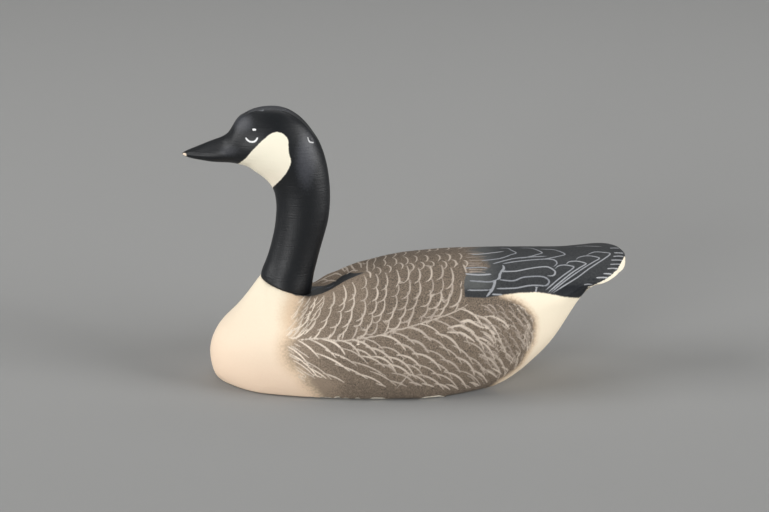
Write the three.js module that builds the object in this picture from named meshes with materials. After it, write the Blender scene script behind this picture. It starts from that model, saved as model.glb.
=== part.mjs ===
// Goose decoy: a small carved and painted wooden goose that stands on its flat underside.
// The body is one carved block. The neck and head are a second block, seated on a slanted
// flat on top of the breast. Millimetres, +Z up, the bill points along -X, and the origin is
// on the ground under the middle of the whole bird.
import * as THREE from "three";

// Driving sizes of the body
const BODY_LENGTH = 168; // front of the breast to the tip of the tail
const BODY_WIDTH = 69; // widest, a little ahead of the middle
const BACK_HEIGHT = 54; // crest of the back above the ground
const UNDERSIDE_WIDTH = 63; // the flat that the bird stands on
const TAIL_WIDTH = 41; // across the spread tail
const TAIL_EDGE = 2.6; // thickness of the tail's rim
const SHOULDER_SPREAD = 25.6; // between the two folded wings' shoulders, behind the neck
const SHOULDER_RISE = 4.2; // the shoulders' height above the hollow between them

// Driving sizes of the neck and head
const NECK_HEIGHT = 73.5; // middle of the seat to the crown
const NECK_WIDTH = 15.6; // across the slim middle of the neck
const HEAD_WIDTH = 20.5; // across the cheeks
const BILL_WIDTH = 12; // across the root of the bill

// The seat that both blocks share
const SEAT_LENGTH = 21.6; // along the bird, at the foot of the neck
const SEAT_WIDTH = 20.5; // across the foot of the neck
const SEAT_HEIGHT = 39.4; // middle of the seat above the ground
const SEAT_TILT = 20; // degrees, falling towards the tail
const SEAT_GAP = 0.3; // glue line between the blocks

const PAINTED_BROWN = new THREE.MeshStandardMaterial({ color: 0x8b7d6e, roughness: 0.78, metalness: 0 });
const PAINTED_BLACK = new THREE.MeshStandardMaterial({ color: 0x26292e, roughness: 0.6, metalness: 0 });

// Smooth curve through [position, value] pairs that never overshoots them. Positions are
// bent by a square root, so that a form can start round and blunt at position 0.
function track(pairs) {
  const at = pairs.map((pair) => Math.sqrt(pair[0]));
  const value = pairs.map((pair) => pair[1]);
  const last = pairs.length - 1;
  const rise = at.slice(1).map((next, i) => (value[i + 1] - value[i]) / (next - at[i]));
  const slope = value.map((_, i) => {
    if (i === 0) return rise[0];
    if (i === last) return rise[last - 1];
    if (rise[i - 1] * rise[i] <= 0) return 0;
    return (2 * rise[i - 1] * rise[i]) / (rise[i - 1] + rise[i]);
  });
  return (position) => {
    const p = THREE.MathUtils.clamp(Math.sqrt(Math.max(position, 0)), at[0], at[last]);
    let i = 0;
    while (i < last - 1 && p > at[i + 1]) i += 1;
    const span = at[i + 1] - at[i];
    const t = (p - at[i]) / span;
    const start = value[i] * (1 + 2 * t) * (1 - t) ** 2 + slope[i] * span * t * (1 - t) ** 2;
    return start + value[i + 1] * t * t * (3 - 2 * t) + slope[i + 1] * span * t * t * (t - 1);
  };
}

// Steps along a cubic arc from one corner of a section to the next, without its first point
function arc(from, fromTurn, toTurn, to, steps) {
  const curve = new THREE.CubicBezierCurve(from, fromTurn, toTurn, to);
  return curve.getPoints(steps).slice(1);
}

const lerp = THREE.MathUtils.lerp;
const radians = THREE.MathUtils.degToRad;

// The seat, as a line along the bird
const SEAT_MIDDLE_SHARE = 18.6; // percent of BODY_LENGTH
const SEAT_MIDDLE = (SEAT_MIDDLE_SHARE / 100) * BODY_LENGTH;
const SEAT_HALF_RUN = (SEAT_LENGTH / 2) * Math.cos(radians(SEAT_TILT));
const SEAT_FRONT = SEAT_MIDDLE - SEAT_HALF_RUN;
const SEAT_REAR = SEAT_MIDDLE + SEAT_HALF_RUN;
const seatLevel = (x) => SEAT_HEIGHT - (x - SEAT_MIDDLE) * Math.tan(radians(SEAT_TILT));

// Profiles of the body. Positions are percent of BODY_LENGTH from the breast, and heights
// are percent of BACK_HEIGHT.
const NOSE_SHARE = 20.5;
const SEAT_FRONT_SHARE = (100 * SEAT_FRONT) / BODY_LENGTH;
const SEAT_REAR_SHARE = (100 * SEAT_REAR) / BODY_LENGTH;
const SEAT_FRONT_RISE_SHARE = (100 * seatLevel(SEAT_FRONT)) / BACK_HEIGHT;
const SEAT_REAR_RISE_SHARE = (100 * seatLevel(SEAT_REAR)) / BACK_HEIGHT;
const breastLine = track([
  [0, NOSE_SHARE], [0.9, 33.5], [2.4, 41.5], [4.7, 49.2], [7.2, 57], [9.5, 66.5],
  [SEAT_FRONT_SHARE, SEAT_FRONT_RISE_SHARE],
]);
const backLine = track([
  [SEAT_REAR_SHARE, SEAT_REAR_RISE_SHARE], [29, 68], [33, 75.8], [35.4, 81.2], [37, 84], [42, 91.5],
  [49, 95.6], [58, 98], [70, 99.4], [84, 99.8], [91, 101.6], [94.5, 102.8], [96.8, 102.4],
  [98.6, 100.4], [100, 96.6],
]);
const keelLine = track([
  [0, NOSE_SHARE], [0.3, 11.5], [1, 4], [2.1, 0], [69.5, 0], [73, 4], [75.8, 11], [78.6, 19.6], [81.5, 29],
  [83.7, 38.6], [85.4, 49], [87, 60], [88.6, 70], [91, 80.5], [94.5, 87], [100, 91.5],
]);
const beamLevel = track([
  [0, NOSE_SHARE], [6, 25], [18, 31], [35, 37], [50, 42], [62, 49], [72, 60], [80, 71], [85, 78], [90, 86.5],
  [95, 90], [97.5, 93.5], [100, 95.3],
]);

// Plan of the body. Widths are percent of half BODY_WIDTH.
const beamPlan = track([
  [0, 0], [1, 23], [3, 39.5], [6, 54.5], [10, 68], [14, 77], [19, 85], [26, 93], [34, 98.5], [42, 100],
  [50, 99.3], [58, 96], [66, 90], [74, 81], [82, 70], [88, 61],
]);
const underPlan = track([
  [0, 0], [2.2, 8], [2.8, 17], [4, 29], [6, 42], [9, 56.5], [13, 70], [18, 81], [25, 91.5], [33, 98.5],
  [40, 100], [47, 97.5], [54, 89], [60, 76], [65, 59], [68.5, 41], [71, 24], [75, 14], [84, 18], [88, 40],
  [93, 62],
]);

// The spread tail is a blunt half ellipse in plan, from this share of the length on. The
// body's sides run into it over the stretch before.
const FAN_START_SHARE = 89;
const FAN_JOIN_SHARES = [84, 90];
const FAN_BLUNTNESS = 2.7;
function fanRound(share) {
  const reach = Math.max(share - FAN_START_SHARE, 0) / (100 - FAN_START_SHARE);
  return Math.sqrt(Math.max(1 - reach ** FAN_BLUNTNESS, 0));
}
function beamHalf(share) {
  const side = (beamPlan(share) / 100) * (BODY_WIDTH / 2);
  return lerp(side, TAIL_WIDTH / 2, THREE.MathUtils.smoothstep(share, ...FAN_JOIN_SHARES)) * fanRound(share);
}

// Half width of the strip along the top: the breast's ridge, the seat's oval, then the hollow
// between the shoulders, then the flatter crown of the back
const stripAhead = track([[0, 0], [1, 11], [4, 20], [8, 21], [SEAT_FRONT_SHARE, 14]]);
const stripBehind = track([
  [SEAT_MIDDLE_SHARE, SEAT_WIDTH / 2], [25, 0.55 * SEAT_WIDTH], [28.3, SHOULDER_SPREAD / 2],
  [32.4, 0.385 * SHOULDER_SPREAD], [36, 0.375 * SHOULDER_SPREAD], [50, 0.38 * SHOULDER_SPREAD],
  [85, 0.35 * SHOULDER_SPREAD], [100, 0.3 * SHOULDER_SPREAD],
]);
function seatHalf(x) {
  const reach = (SEAT_MIDDLE - x) / SEAT_HALF_RUN;
  return (SEAT_WIDTH / 2) * Math.sqrt(Math.max(1 - reach * reach, 0));
}
function stripHalf(x, share) {
  if (x >= SEAT_MIDDLE) return stripBehind(share) * fanRound(share);
  return Math.max((stripAhead(share) / 100) * (BODY_WIDTH / 2), seatHalf(x));
}

// How far the strip's edges stand above its middle, as a share of SHOULDER_RISE, and how far
// they fall below it elsewhere, in percent of BACK_HEIGHT
const shoulderShare = track([
  [25, 0], [28.5, 0.9], [31.5, 0.9], [33, 0.76], [35.4, 0.43], [37, 0.26], [39.5, 0.06], [42, 0], [100, 0],
]);
const crownDrop = track([
  [SEAT_FRONT_SHARE, 0], [36, 0], [43, 1.8], [85, 2.4], [97, 1.7], [100, 0.6],
]);

// Where the breast's side would end under the neck, before the seat draws it up and in
const sideTopHalf = track([
  [0, 0], [1, 11], [4, 19], [9, 22], [12.2, 24], [15, 27], [18.6, 29.5], [22, 31], [SEAT_REAR_SHARE, 32.5],
]);
const sideTopLevel = track([
  [0, NOSE_SHARE], [0.9, 32], [2.4, 39.5], [4.7, 46.6], [7.2, 53.3], [9.5, 59.6], [12.2, 65], [15, 68.4],
  [18.6, 69], [22, 67.5], [SEAT_REAR_SHARE, SEAT_REAR_RISE_SHARE],
]);

// Turns of a section, in degrees below level: where the side leaves the top, where it meets
// the widest point from above and from below. The last two say how far the upper turn
// reaches and how far the side lifts as it leaves the underside.
const sideTurn = track([
  [0, 20], [4, 17], [7, 22], [9.5, 30], [12.6, 38], [18.6, 41], [22, 42], [25, 39], [29, 34], [34, 27],
  [42, 19], [52, 16],
  [70, 17], [85, 19], [100, 12],
]);
const beamTurn = track([[0, 90], [74, 90], [80, 75], [86, 48], [90, 32], [100, 25]]);
const bilgeTurn = track([[0, 90], [78, 90], [84, 60], [88, 25], [92, 8], [100, 0]]);
const sideReach = track([[0, 0.3], [8, 0.28], [22, 0.26], [34, 0.33], [100, 0.33]]);
const bilgeLift = track([
  [0, 0.05], [2, 0.1], [6, 0.24], [60, 0.24], [68, 0.12], [73, 0.02], [86, 0.02], [90, 0.1], [100, 0.3],
]);
const BEAM_REACH_SHARE = 0.42;
const BILGE_REACH_SHARE = 0.4;
const BILGE_SPREAD_SHARE = 0.6;
const PULL_START_SHARE = 0.3; // share of the side, from the widest point up, that the seat leaves alone
const STRIP_LIMIT_SHARE = 0.8; // most of the widest half that the strip may take
const UNDER_LIMIT_SHARE = 0.85; // most of it that the underside may take
const RIM_SHARE = 0.15; // upright band at the widest point, as a share of the side below it
const TAIL_BLEND_SHARES = [88, 93]; // where the rump's round underside turns into the tail's flat one
const TAIL_HOLLOW_SHARE = 0.8;

const STRIP_STEPS = 4;
const UPPER_STEPS = 8;
const LOWER_STEPS = 5;
const UNDER_STEPS = 3;

// Height of the body's top along its middle
function middleLevel(x, share) {
  if (x < SEAT_FRONT) return (breastLine(share) / 100) * BACK_HEIGHT;
  if (x < SEAT_REAR) return seatLevel(x);
  return (backLine(share) / 100) * BACK_HEIGHT;
}

// Underside and side up to the widest point, ending there
function lowerHalf(share, beam, beamZ) {
  const tail = THREE.MathUtils.smoothstep(share, ...TAIL_BLEND_SHARES);
  const under = Math.min((underPlan(share) / 100) * (UNDERSIDE_WIDTH / 2), UNDER_LIMIT_SHARE * beam);
  const keel = (keelLine(share) / 100) * BACK_HEIGHT;
  const rim = Math.min(TAIL_EDGE, lerp(RIM_SHARE * (beamZ - keel), TAIL_EDGE, tail));
  const rimFoot = new THREE.Vector2(beam, beamZ - rim);
  const hollowEdge = Math.max(rimFoot.y - BILGE_REACH_SHARE * (beam - under), keel - TAIL_EDGE);
  const foot = new THREE.Vector2(under, lerp(keel, hollowEdge, tail * TAIL_HOLLOW_SHARE));
  const points = [];
  for (let k = 0; k < UNDER_STEPS; k += 1) {
    const t = k / UNDER_STEPS;
    points.push(new THREE.Vector2(under * t, lerp(keel, foot.y, t * t)));
  }
  const side = BILGE_REACH_SHARE * rimFoot.distanceTo(foot);
  const turn = radians(bilgeTurn(share));
  const out = new THREE.Vector2(
    lerp(under, beam, BILGE_SPREAD_SHARE),
    lerp(foot.y, rimFoot.y, bilgeLift(share)),
  );
  const up = new THREE.Vector2(beam - side * Math.cos(turn), rimFoot.y - side * Math.sin(turn));
  points.push(foot, ...arc(foot, out, up, rimFoot, LOWER_STEPS), new THREE.Vector2(beam, beamZ));
  return points;
}

// Side above the widest point, up to the edge of the strip
function upperHalf(share, widest, top, stripEdge) {
  const span = widest.distanceTo(top);
  const turn = radians(sideTurn(share));
  const bend = radians(beamTurn(share));
  const reach = sideReach(share) * span;
  const lean = new THREE.Vector2(
    widest.x - BEAM_REACH_SHARE * span * Math.cos(bend),
    widest.y + BEAM_REACH_SHARE * span * Math.sin(bend),
  );
  const leave = new THREE.Vector2(top.x + reach * Math.cos(turn), top.y - reach * Math.sin(turn));
  const pull = stripEdge.clone().sub(top);
  const points = arc(widest, lean, leave, top, UPPER_STEPS);
  points.forEach((p, k) => {
    p.addScaledVector(pull, THREE.MathUtils.smoothstep((k + 1) / UPPER_STEPS, PULL_START_SHARE, 1));
  });
  return points;
}

// Half of a section across the body, from the keel up to the middle of the back
function halfSection(x) {
  const share = (100 * x) / BODY_LENGTH;
  const beam = beamHalf(share);
  const beamZ = (beamLevel(share) / 100) * BACK_HEIGHT;
  const strip = Math.min(stripHalf(x, share), STRIP_LIMIT_SHARE * beam);
  const middle = middleLevel(x, share);
  // Up to the seat's middle, the strip is level as far as the seat's oval and rounded beyond
  const flat = x < SEAT_MIDDLE ? Math.min(seatHalf(x) / strip, 1) : 1;
  const round = (1 - flat * flat) * (strip / 2) * Math.tan(radians(sideTurn(share)));
  const fall = round + (crownDrop(share) / 100) * BACK_HEIGHT;
  const edge = middle + SHOULDER_RISE * shoulderShare(share) - fall;
  const stripEdge = new THREE.Vector2(strip, edge);
  const top = stripEdge.clone();
  if (x < SEAT_REAR) {
    const half = Math.min((sideTopHalf(share) / 100) * (BODY_WIDTH / 2), STRIP_LIMIT_SHARE * beam);
    top.set(half, (sideTopLevel(share) / 100) * BACK_HEIGHT);
  }
  const points = lowerHalf(share, beam, beamZ);
  points.push(...upperHalf(share, new THREE.Vector2(beam, beamZ), top, stripEdge));
  for (let k = 1; k <= STRIP_STEPS; k += 1) {
    const t = 1 - k / STRIP_STEPS;
    const lift = flat < 1 ? Math.max(t * t - flat * flat, 0) / (1 - flat * flat) : t * t;
    points.push(new THREE.Vector2(strip * t, lerp(middle, edge, lift)));
  }
  return points;
}

// Closed skin over rings of points, with a single point at each end. Rings run from the
// underside up the left side, over the top and down the right side.
function skin(rings, startPoint, endPoint) {
  const count = rings[0].length;
  const positions = [startPoint, ...rings.flat(), endPoint].flatMap((p) => [p.x, p.y, p.z]);
  const endIndex = 1 + rings.length * count;
  const index = [];
  for (let j = 0; j < count; j += 1) {
    const next = (j + 1) % count;
    index.push(0, 1 + j, 1 + next);
    for (let i = 0; i + 1 < rings.length; i += 1) {
      const near = 1 + i * count;
      const far = near + count;
      index.push(near + j, far + j, far + next, near + j, far + next, near + next);
    }
    const lastRing = endIndex - count;
    index.push(lastRing + j, endIndex, lastRing + next);
  }
  const geometry = new THREE.BufferGeometry();
  geometry.setAttribute("position", new THREE.Float32BufferAttribute(positions, 3));
  geometry.setIndex(index);
  return geometry;
}

// Where the body's sections stand: close together where the form turns fast
const BREAST_RINGS = 11;
const SEAT_RINGS = 5;
const HOLLOW_RINGS = 12;
const BACK_RINGS = 19;
const FAN_RINGS = 8;
const HOLLOW_END = 0.42 * BODY_LENGTH;
const FAN_LAST_TURN = 0.92 * (Math.PI / 2);
function bodyStations() {
  const fanStart = (FAN_START_SHARE / 100) * BODY_LENGTH;
  const places = [];
  for (let k = 1; k <= BREAST_RINGS; k += 1) places.push(SEAT_FRONT * (k / BREAST_RINGS) ** 2);
  for (let k = 1; k <= SEAT_RINGS; k += 1) {
    places.push(SEAT_MIDDLE - SEAT_HALF_RUN * Math.cos((Math.PI / 2) * (k / SEAT_RINGS)));
  }
  for (let k = 1; k <= HOLLOW_RINGS; k += 1) places.push(lerp(SEAT_MIDDLE, HOLLOW_END, k / HOLLOW_RINGS));
  for (let k = 1; k <= BACK_RINGS; k += 1) places.push(lerp(HOLLOW_END, fanStart, k / BACK_RINGS));
  for (let k = 1; k <= FAN_RINGS; k += 1) {
    places.push(lerp(fanStart, BODY_LENGTH, Math.sin(FAN_LAST_TURN * (k / FAN_RINGS))));
  }
  return places;
}

function bodyGeometry() {
  const rings = bodyStations().map((x) => {
    const half = halfSection(x);
    const right = half.map((p) => new THREE.Vector3(x, -p.x, p.y));
    const left = half.slice(1, -1).reverse().map((p) => new THREE.Vector3(x, p.x, p.y));
    return [...right, ...left];
  });
  const nose = new THREE.Vector3(0, 0, (NOSE_SHARE / 100) * BACK_HEIGHT);
  const tip = rings.at(-1);
  const tailTip = new THREE.Vector3(BODY_LENGTH, 0, (tip[0].z + tip[Math.floor(tip.length / 2)].z) / 2);
  return skin(rings, nose, tailTip);
}

// The neck and head, in percent of NECK_HEIGHT from the middle of the seat. Each section has
// its end on the throat side, its end on the nape side, its half width, how much its nape
// end is pressed flat and how much it narrows towards that end.
const shareOfNeck = ([x, z]) => new THREE.Vector3((x / 100) * NECK_HEIGHT, 0, (z / 100) * NECK_HEIGHT);
const section = (throat, nape, width, flat, narrow) => ({
  throat: shareOfNeck(throat), nape: shareOfNeck(nape), half: width / 2, flat, narrow,
});
const footLift = SEAT_GAP / Math.cos(radians(SEAT_TILT));
const footPoint = (x) => new THREE.Vector3(x, 0, footLift - x * Math.tan(radians(SEAT_TILT)));
const BILL_TIP_SHARES = [-55.6, 73.6];
const SECTION_STEPS = 24;
const STEPS_BETWEEN = 2;

function neckSections() {
  return [
    {
      throat: footPoint(-SEAT_HALF_RUN), nape: footPoint(SEAT_HALF_RUN), half: SEAT_WIDTH / 2,
      flat: 0, narrow: 0,
    },
    section([-13.2, 8.7], [14.6, -0.5], lerp(SEAT_WIDTH, NECK_WIDTH, 0.2), 0, 0),
    section([-10, 16], [16, 8], lerp(SEAT_WIDTH, NECK_WIDTH, 0.75), 0, 0),
    section([-6.6, 28.4], [20, 22.5], NECK_WIDTH, 0, 0.04),
    section([-4.7, 41], [23.8, 37], 0.99 * NECK_WIDTH, 0, 0.06),
    section([-5.4, 51.5], [24.9, 51], 1.02 * NECK_WIDTH, 0, 0.06),
    section([-8.4, 57.5], [23.9, 64.5], 0.84 * HEAD_WIDTH, 0, 0.08),
    section([-13.4, 62], [20.2, 78.5], 0.95 * HEAD_WIDTH, 0, 0.1),
    section([-16.5, 64], [12.8, 90.5], HEAD_WIDTH, 0.04, 0.12),
    section([-19, 66], [2, 98.2], HEAD_WIDTH, 0.1, 0.14),
    section([-21.4, 67.1], [-9, 99.5], 0.95 * HEAD_WIDTH, 0.12, 0.16),
    section([-24.2, 67.8], [-19.4, 97.3], 0.84 * HEAD_WIDTH, 0.08, 0.18),
    section([-27.6, 68.5], [-25.6, 93], 0.7 * HEAD_WIDTH, 0, 0.2),
    section([-31.8, 69], [-30.4, 84.8], BILL_WIDTH, 0, 0.24),
    section([-38, 69.2], [-38.6, 81.3], 0.86 * BILL_WIDTH, 0, 0.26),
    section([-46, 70.5], [-46.4, 77.8], 0.66 * BILL_WIDTH, 0, 0.2),
    section([-52.4, 71.8], [-52.8, 75.2], 0.4 * BILL_WIDTH, 0, 0),
  ];
}

function neckRing(throat, nape, half, flat, narrow) {
  const middle = throat.clone().lerp(nape, 0.5);
  const reach = nape.clone().sub(middle);
  const ring = [];
  for (let k = 0; k < SECTION_STEPS; k += 1) {
    const turn = (2 * Math.PI * k) / SECTION_STEPS;
    const along = -Math.cos(turn);
    const pressed = along > 0 ? Math.min(along / (1 - flat), 1) : along;
    const side = half * Math.sin(turn) * (1 - narrow * along);
    ring.push(middle.clone().addScaledVector(reach, pressed).setY(side));
  }
  return ring;
}

function neckGeometry() {
  const rows = neckSections();
  const rail = (key) => new THREE.CatmullRomCurve3(rows.map((row) => row[key]), false, "centripetal");
  const throatRail = rail("throat");
  const napeRail = rail("nape");
  const girth = new THREE.CatmullRomCurve3(
    rows.map((row) => new THREE.Vector3(row.half, row.flat, row.narrow)), false, "catmullrom", 0.5,
  );
  const count = (rows.length - 1) * STEPS_BETWEEN;
  const rings = [];
  for (let i = 0; i <= count; i += 1) {
    const u = i / count;
    const { x: half, y: flat, z: narrow } = girth.getPoint(u);
    rings.push(neckRing(throatRail.getPoint(u), napeRail.getPoint(u), half, flat, narrow));
  }
  return skin(rings, footPoint(0), shareOfNeck(BILL_TIP_SHARES));
}

function named(name, geometry, material) {
  geometry.computeVertexNormals();
  const mesh = new THREE.Mesh(geometry, material);
  mesh.name = name;
  return mesh;
}

const goose = new THREE.Group();
const body = named("body", bodyGeometry(), PAINTED_BROWN);
const neck = named("head_and_neck", neckGeometry(), PAINTED_BLACK);
neck.position.set(SEAT_MIDDLE, 0, SEAT_HEIGHT);
goose.add(body, neck);
const extent = new THREE.Box3().setFromObject(goose);
goose.position.x = -(extent.min.x + extent.max.x) / 2;

export default goose;
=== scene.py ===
"""Looks of a small painted wooden goose decoy that stands on its flat underside.

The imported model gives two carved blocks. Each is copied, smoothed, worked over with small
carving moves and painted as such a bird is: broad areas first, then the brush marks that
stand for feathers. Areas and marks are measured over the skin and kept on its points, where
the finish reads them. Paint and carving are given in millimetres, places read off the
photograph in its own 769 x 512 pixels. The bill points along -X, and the near side is -Y.
"""

import logging
import math
from dataclasses import dataclass, field
from enum import Enum
from typing import Callable, Iterable, Iterator, Optional, Sequence

import bmesh
import bpy
import numpy as np
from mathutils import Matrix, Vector, noise
from mathutils.bvhtree import BVHTree
from mathutils.kdtree import KDTree


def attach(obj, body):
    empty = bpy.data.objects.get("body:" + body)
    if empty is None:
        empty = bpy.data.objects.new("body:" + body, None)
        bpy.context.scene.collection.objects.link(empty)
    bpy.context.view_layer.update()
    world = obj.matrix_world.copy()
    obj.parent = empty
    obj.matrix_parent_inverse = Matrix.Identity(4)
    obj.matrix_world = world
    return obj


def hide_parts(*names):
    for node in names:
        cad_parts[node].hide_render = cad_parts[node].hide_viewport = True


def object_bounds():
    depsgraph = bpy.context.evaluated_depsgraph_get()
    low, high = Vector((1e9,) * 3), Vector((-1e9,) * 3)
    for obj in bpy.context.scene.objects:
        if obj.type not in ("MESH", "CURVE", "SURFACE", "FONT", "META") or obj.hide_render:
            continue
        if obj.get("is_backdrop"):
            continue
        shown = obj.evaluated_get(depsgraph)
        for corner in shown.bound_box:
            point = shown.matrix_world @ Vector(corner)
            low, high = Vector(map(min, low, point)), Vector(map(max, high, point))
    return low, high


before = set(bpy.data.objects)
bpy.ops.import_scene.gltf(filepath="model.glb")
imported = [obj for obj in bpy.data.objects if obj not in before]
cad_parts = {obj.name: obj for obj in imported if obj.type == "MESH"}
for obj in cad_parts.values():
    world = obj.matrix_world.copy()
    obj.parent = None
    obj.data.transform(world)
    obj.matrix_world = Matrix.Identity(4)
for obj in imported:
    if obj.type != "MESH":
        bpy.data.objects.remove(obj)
CAD_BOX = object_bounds()

LOG = logging.getLogger("goose_decoy")
MM = 0.001
FIELD_LIMIT = 5.0

Array = np.ndarray
Span = tuple[float, float]
Pairs = Sequence[Span]
Line = Sequence[Span]
Row = tuple[float, float, float]
Tree = bpy.types.NodeTree
Socket = bpy.types.NodeSocket
PixelRule = Callable[[float, float], float]
Finder = Callable[[Array], tuple[Array, Array]]


class Side(Enum):
    """The two sides of the bird: the one that the photograph shows, and the other."""

    NEAR = 1.0
    FAR = -1.0


class Press(Enum):
    """How the brush is pressed along a mark."""

    EVEN = "even"
    LIFTED = "lifted"
    SWELLING = "swelling"

    def share(self, along: Array) -> Array:
        """Width of the mark as a share of its widest.

        Args:
            along: places from 0 to 1 along the mark.

        Returns:
            The share at each place.
        """
        if self is Press.EVEN:
            ends = np.minimum(along / 0.08, (1.0 - along) / 0.12)
            return np.sqrt(np.clip(ends, 0.0, 1.0))
        if self is Press.LIFTED:
            return np.sqrt(np.clip(along / 0.1, 0.0, 1.0)) * (1.0 - 0.72 * along)
        return 0.25 + 0.75 * np.sin(np.pi * (0.08 + 0.84 * along))


class Pigment(Enum):
    """The two paints that fine marks are made with."""

    CREAM = "cream"
    GREY = "grey"


# Curves and fields in the plane


def smooth_path(knots: Line, step: float = 0.5) -> Array:
    """Curve through a few points.

    Args:
        knots: the points that the curve passes through.
        step: distance between the points returned, in the units of the knots.

    Returns:
        Points along the curve, one row each.
    """
    k = np.asarray(knots, float)
    row = np.vstack([2 * k[0] - k[1], k, 2 * k[-1] - k[-2]])
    parts = []
    for a, b, c, d in zip(row[:-3], row[1:-2], row[2:-1], row[3:]):
        t = np.arange(0.0, 1.0, step / max(np.linalg.norm(c - b), step))[:, None]
        bend = (2 * a - 5 * b + 4 * c - d) * t**2 + (3 * b - a - 3 * c + d) * t**3
        parts.append(0.5 * (2 * b + (c - a) * t + bend))
    return np.vstack([*parts, k[-1:]])


def swept_path(start: Sequence[float], length: float, headings: Sequence[float]) -> Array:
    """Path that leaves a point and turns evenly through some headings.

    Args:
        start: first point, in pixels.
        length: length of the path, in pixels.
        headings: directions along it, in degrees from the right towards straight down.

    Returns:
        Points along the path, about half a pixel apart.
    """
    count = max(int(2 * length), 2)
    along = np.linspace(0.0, 1.0, count)
    turns = np.radians(np.interp(along, np.linspace(0.0, 1.0, len(headings)), headings))
    steps = np.column_stack([np.cos(turns), np.sin(turns)]) * (length / count)
    return np.vstack([start, np.asarray(start) + np.cumsum(steps, axis=0)])


def depth_inside(points: Array, outline: Line) -> Array:
    """Distance from each point to a closed outline, positive inside it and negative outside.

    Args:
        points: one row for each point.
        outline: the outline's corners, in the same units.

    Returns:
        One distance for each point.
    """
    corners = np.asarray(outline, float)
    nearest = np.full(len(points), np.inf)
    inside = np.zeros(len(points), bool)
    for a, b in zip(corners, np.roll(corners, -1, axis=0)):
        nearest = np.minimum(nearest, gap_to_edge(points, a, b)[0])
        crosses = (a[1] > points[:, 1]) != (b[1] > points[:, 1])
        run, rise = b - a
        inside ^= crosses & (points[:, 0] < a[0] + (points[:, 1] - a[1]) * run / (rise or 1.0))
    return np.where(inside, nearest, -nearest)


def gap_to_edge(points: Array, start: Array, end: Array) -> tuple[Array, Array]:
    """Distance from each point to a straight edge, and the share of the edge where it is met.

    Args:
        points: one row for each point.
        start: where the edge starts.
        end: where it ends.

    Returns:
        The distances, and the shares from 0 at the start to 1 at the end.
    """
    edge = end - start
    share = np.clip((points - start) @ edge / (edge @ edge), 0.0, 1.0)
    return np.linalg.norm(points - start - share[:, None] * edge, axis=1), share


def eased(values: Array, start: float, end: float) -> Array:
    """Smooth step of the values from 0 at start to 1 at end."""
    t = np.clip((values - start) / (end - start), 0.0, 1.0)
    return t * t * (3.0 - 2.0 * t)


def read_off(table: Pairs, values: Array) -> Array:
    """What a table of pairs gives at some values, on straight lines between its rows."""
    return np.interp(values, *np.asarray(table, float).T)


@dataclass(frozen=True)
class Patch:
    """Amount that grows from none to full between two places along the bird, and two levels.

    Both are in millimetres, or both in pixels.
    """

    amount: float
    along: Span
    level: Optional[Span] = None

    def over(self, along: Array, level: Array) -> Array:
        """The amount at some places.

        Args:
            along: places along the bird.
            level: places up or down.

        Returns:
            One amount for each place.
        """
        share = eased(along, *self.along)
        if self.level is not None:
            share = share * eased(level, *self.level)
        return self.amount * share


@dataclass(frozen=True)
class Spot:
    """Amount that grows from none at the rim of an oval, in pixels, to full near its middle."""

    amount: float
    middle: Span
    radii: Span
    full: float = 0.2

    def over(self, seen: Array) -> Array:
        """The amount at some pixels."""
        return self.amount * eased(oval(seen, self.middle, self.radii), 1.0, self.full)


def oval(seen: Array, middle: Span, radii: Span) -> Array:
    """Distance of pixels from a middle, as a share of the radii across and down."""
    return np.hypot(*((seen - middle) / radii).T)


@dataclass(frozen=True)
class PhotoEye:
    """The viewpoint that the photograph was taken from."""

    target: Row = (-8.1, 0.0, 51.0)
    distance: float = 900.0
    elevation: float = 16.5
    pixels_per_mm: float = 2.483
    middle: Span = (384.5, 256.0)

    @property
    def focal(self) -> float:
        """Focal length in pixels."""
        return self.pixels_per_mm * self.distance

    def axes(self) -> tuple[Array, Array, Array]:
        """Directions to the right, up and ahead."""
        rise = math.radians(self.elevation)
        up = np.array([0.0, math.sin(rise), math.cos(rise)])
        return np.array([1.0, 0.0, 0.0]), up, np.array([0.0, math.cos(rise), -math.sin(rise)])

    def place(self) -> Array:
        """Where the eye is, in millimetres."""
        return np.asarray(self.target) - self.distance * self.axes()[2]

    def project(self, points: Array) -> Array:
        """Pixels where points in metres are seen.

        Args:
            points: one row for each point.

        Returns:
            One row for each pixel, across and down.
        """
        right, up, ahead = self.axes()
        offsets = points / MM - self.place()
        depth = offsets @ ahead
        across = self.middle[0] + self.focal * (offsets @ right) / depth
        down = self.middle[1] - self.focal * (offsets @ up) / depth
        return np.column_stack([across, down])

    def strike(self, skin: BVHTree, pixels: Array) -> Array:
        """Points in metres where the lines of sight through pixels strike a skin.

        Args:
            skin: the skin that is looked at.
            pixels: one row for each line of sight.

        Returns:
            One row for each pixel, not a number where nothing is struck.
        """
        right, up, ahead = self.axes()
        eye = Vector(self.place() * MM)
        hits = np.full((len(pixels), 3), np.nan)
        for row, (x, y) in enumerate(pixels):
            sight = ahead * self.focal + right * (x - self.middle[0]) - up * (y - self.middle[1])
            hit = skin.ray_cast(eye, Vector(sight).normalized())[0]
            if hit is not None:
                hits[row] = hit
        return hits

    def sees(self, skin: BVHTree, points: Array, slack: float = 0.6 * MM) -> Array:
        """Whether each point in metres is in plain sight.

        Args:
            skin: the skin that may hide a point.
            points: one row for each point.
            slack: how far below the skin a point may lie.

        Returns:
            One answer for each point.
        """
        eye = Vector(self.place() * MM)
        seen = np.zeros(len(points), bool)
        for row, point in enumerate(points):
            away = Vector(point) - eye
            hit = skin.ray_cast(eye, away.normalized())[0]
            seen[row] = hit is not None and (hit - eye).length > away.length - slack
        return seen


EYE = PhotoEye()


# Brush marks


@dataclass(frozen=True)
class BrushMark:
    """One stroke of paint: its path and greatest width in pixels, and how light it is."""

    path: Array
    width: float
    tone: float
    press: Press = Press.SWELLING
    pigment: Pigment = Pigment.CREAM


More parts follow.
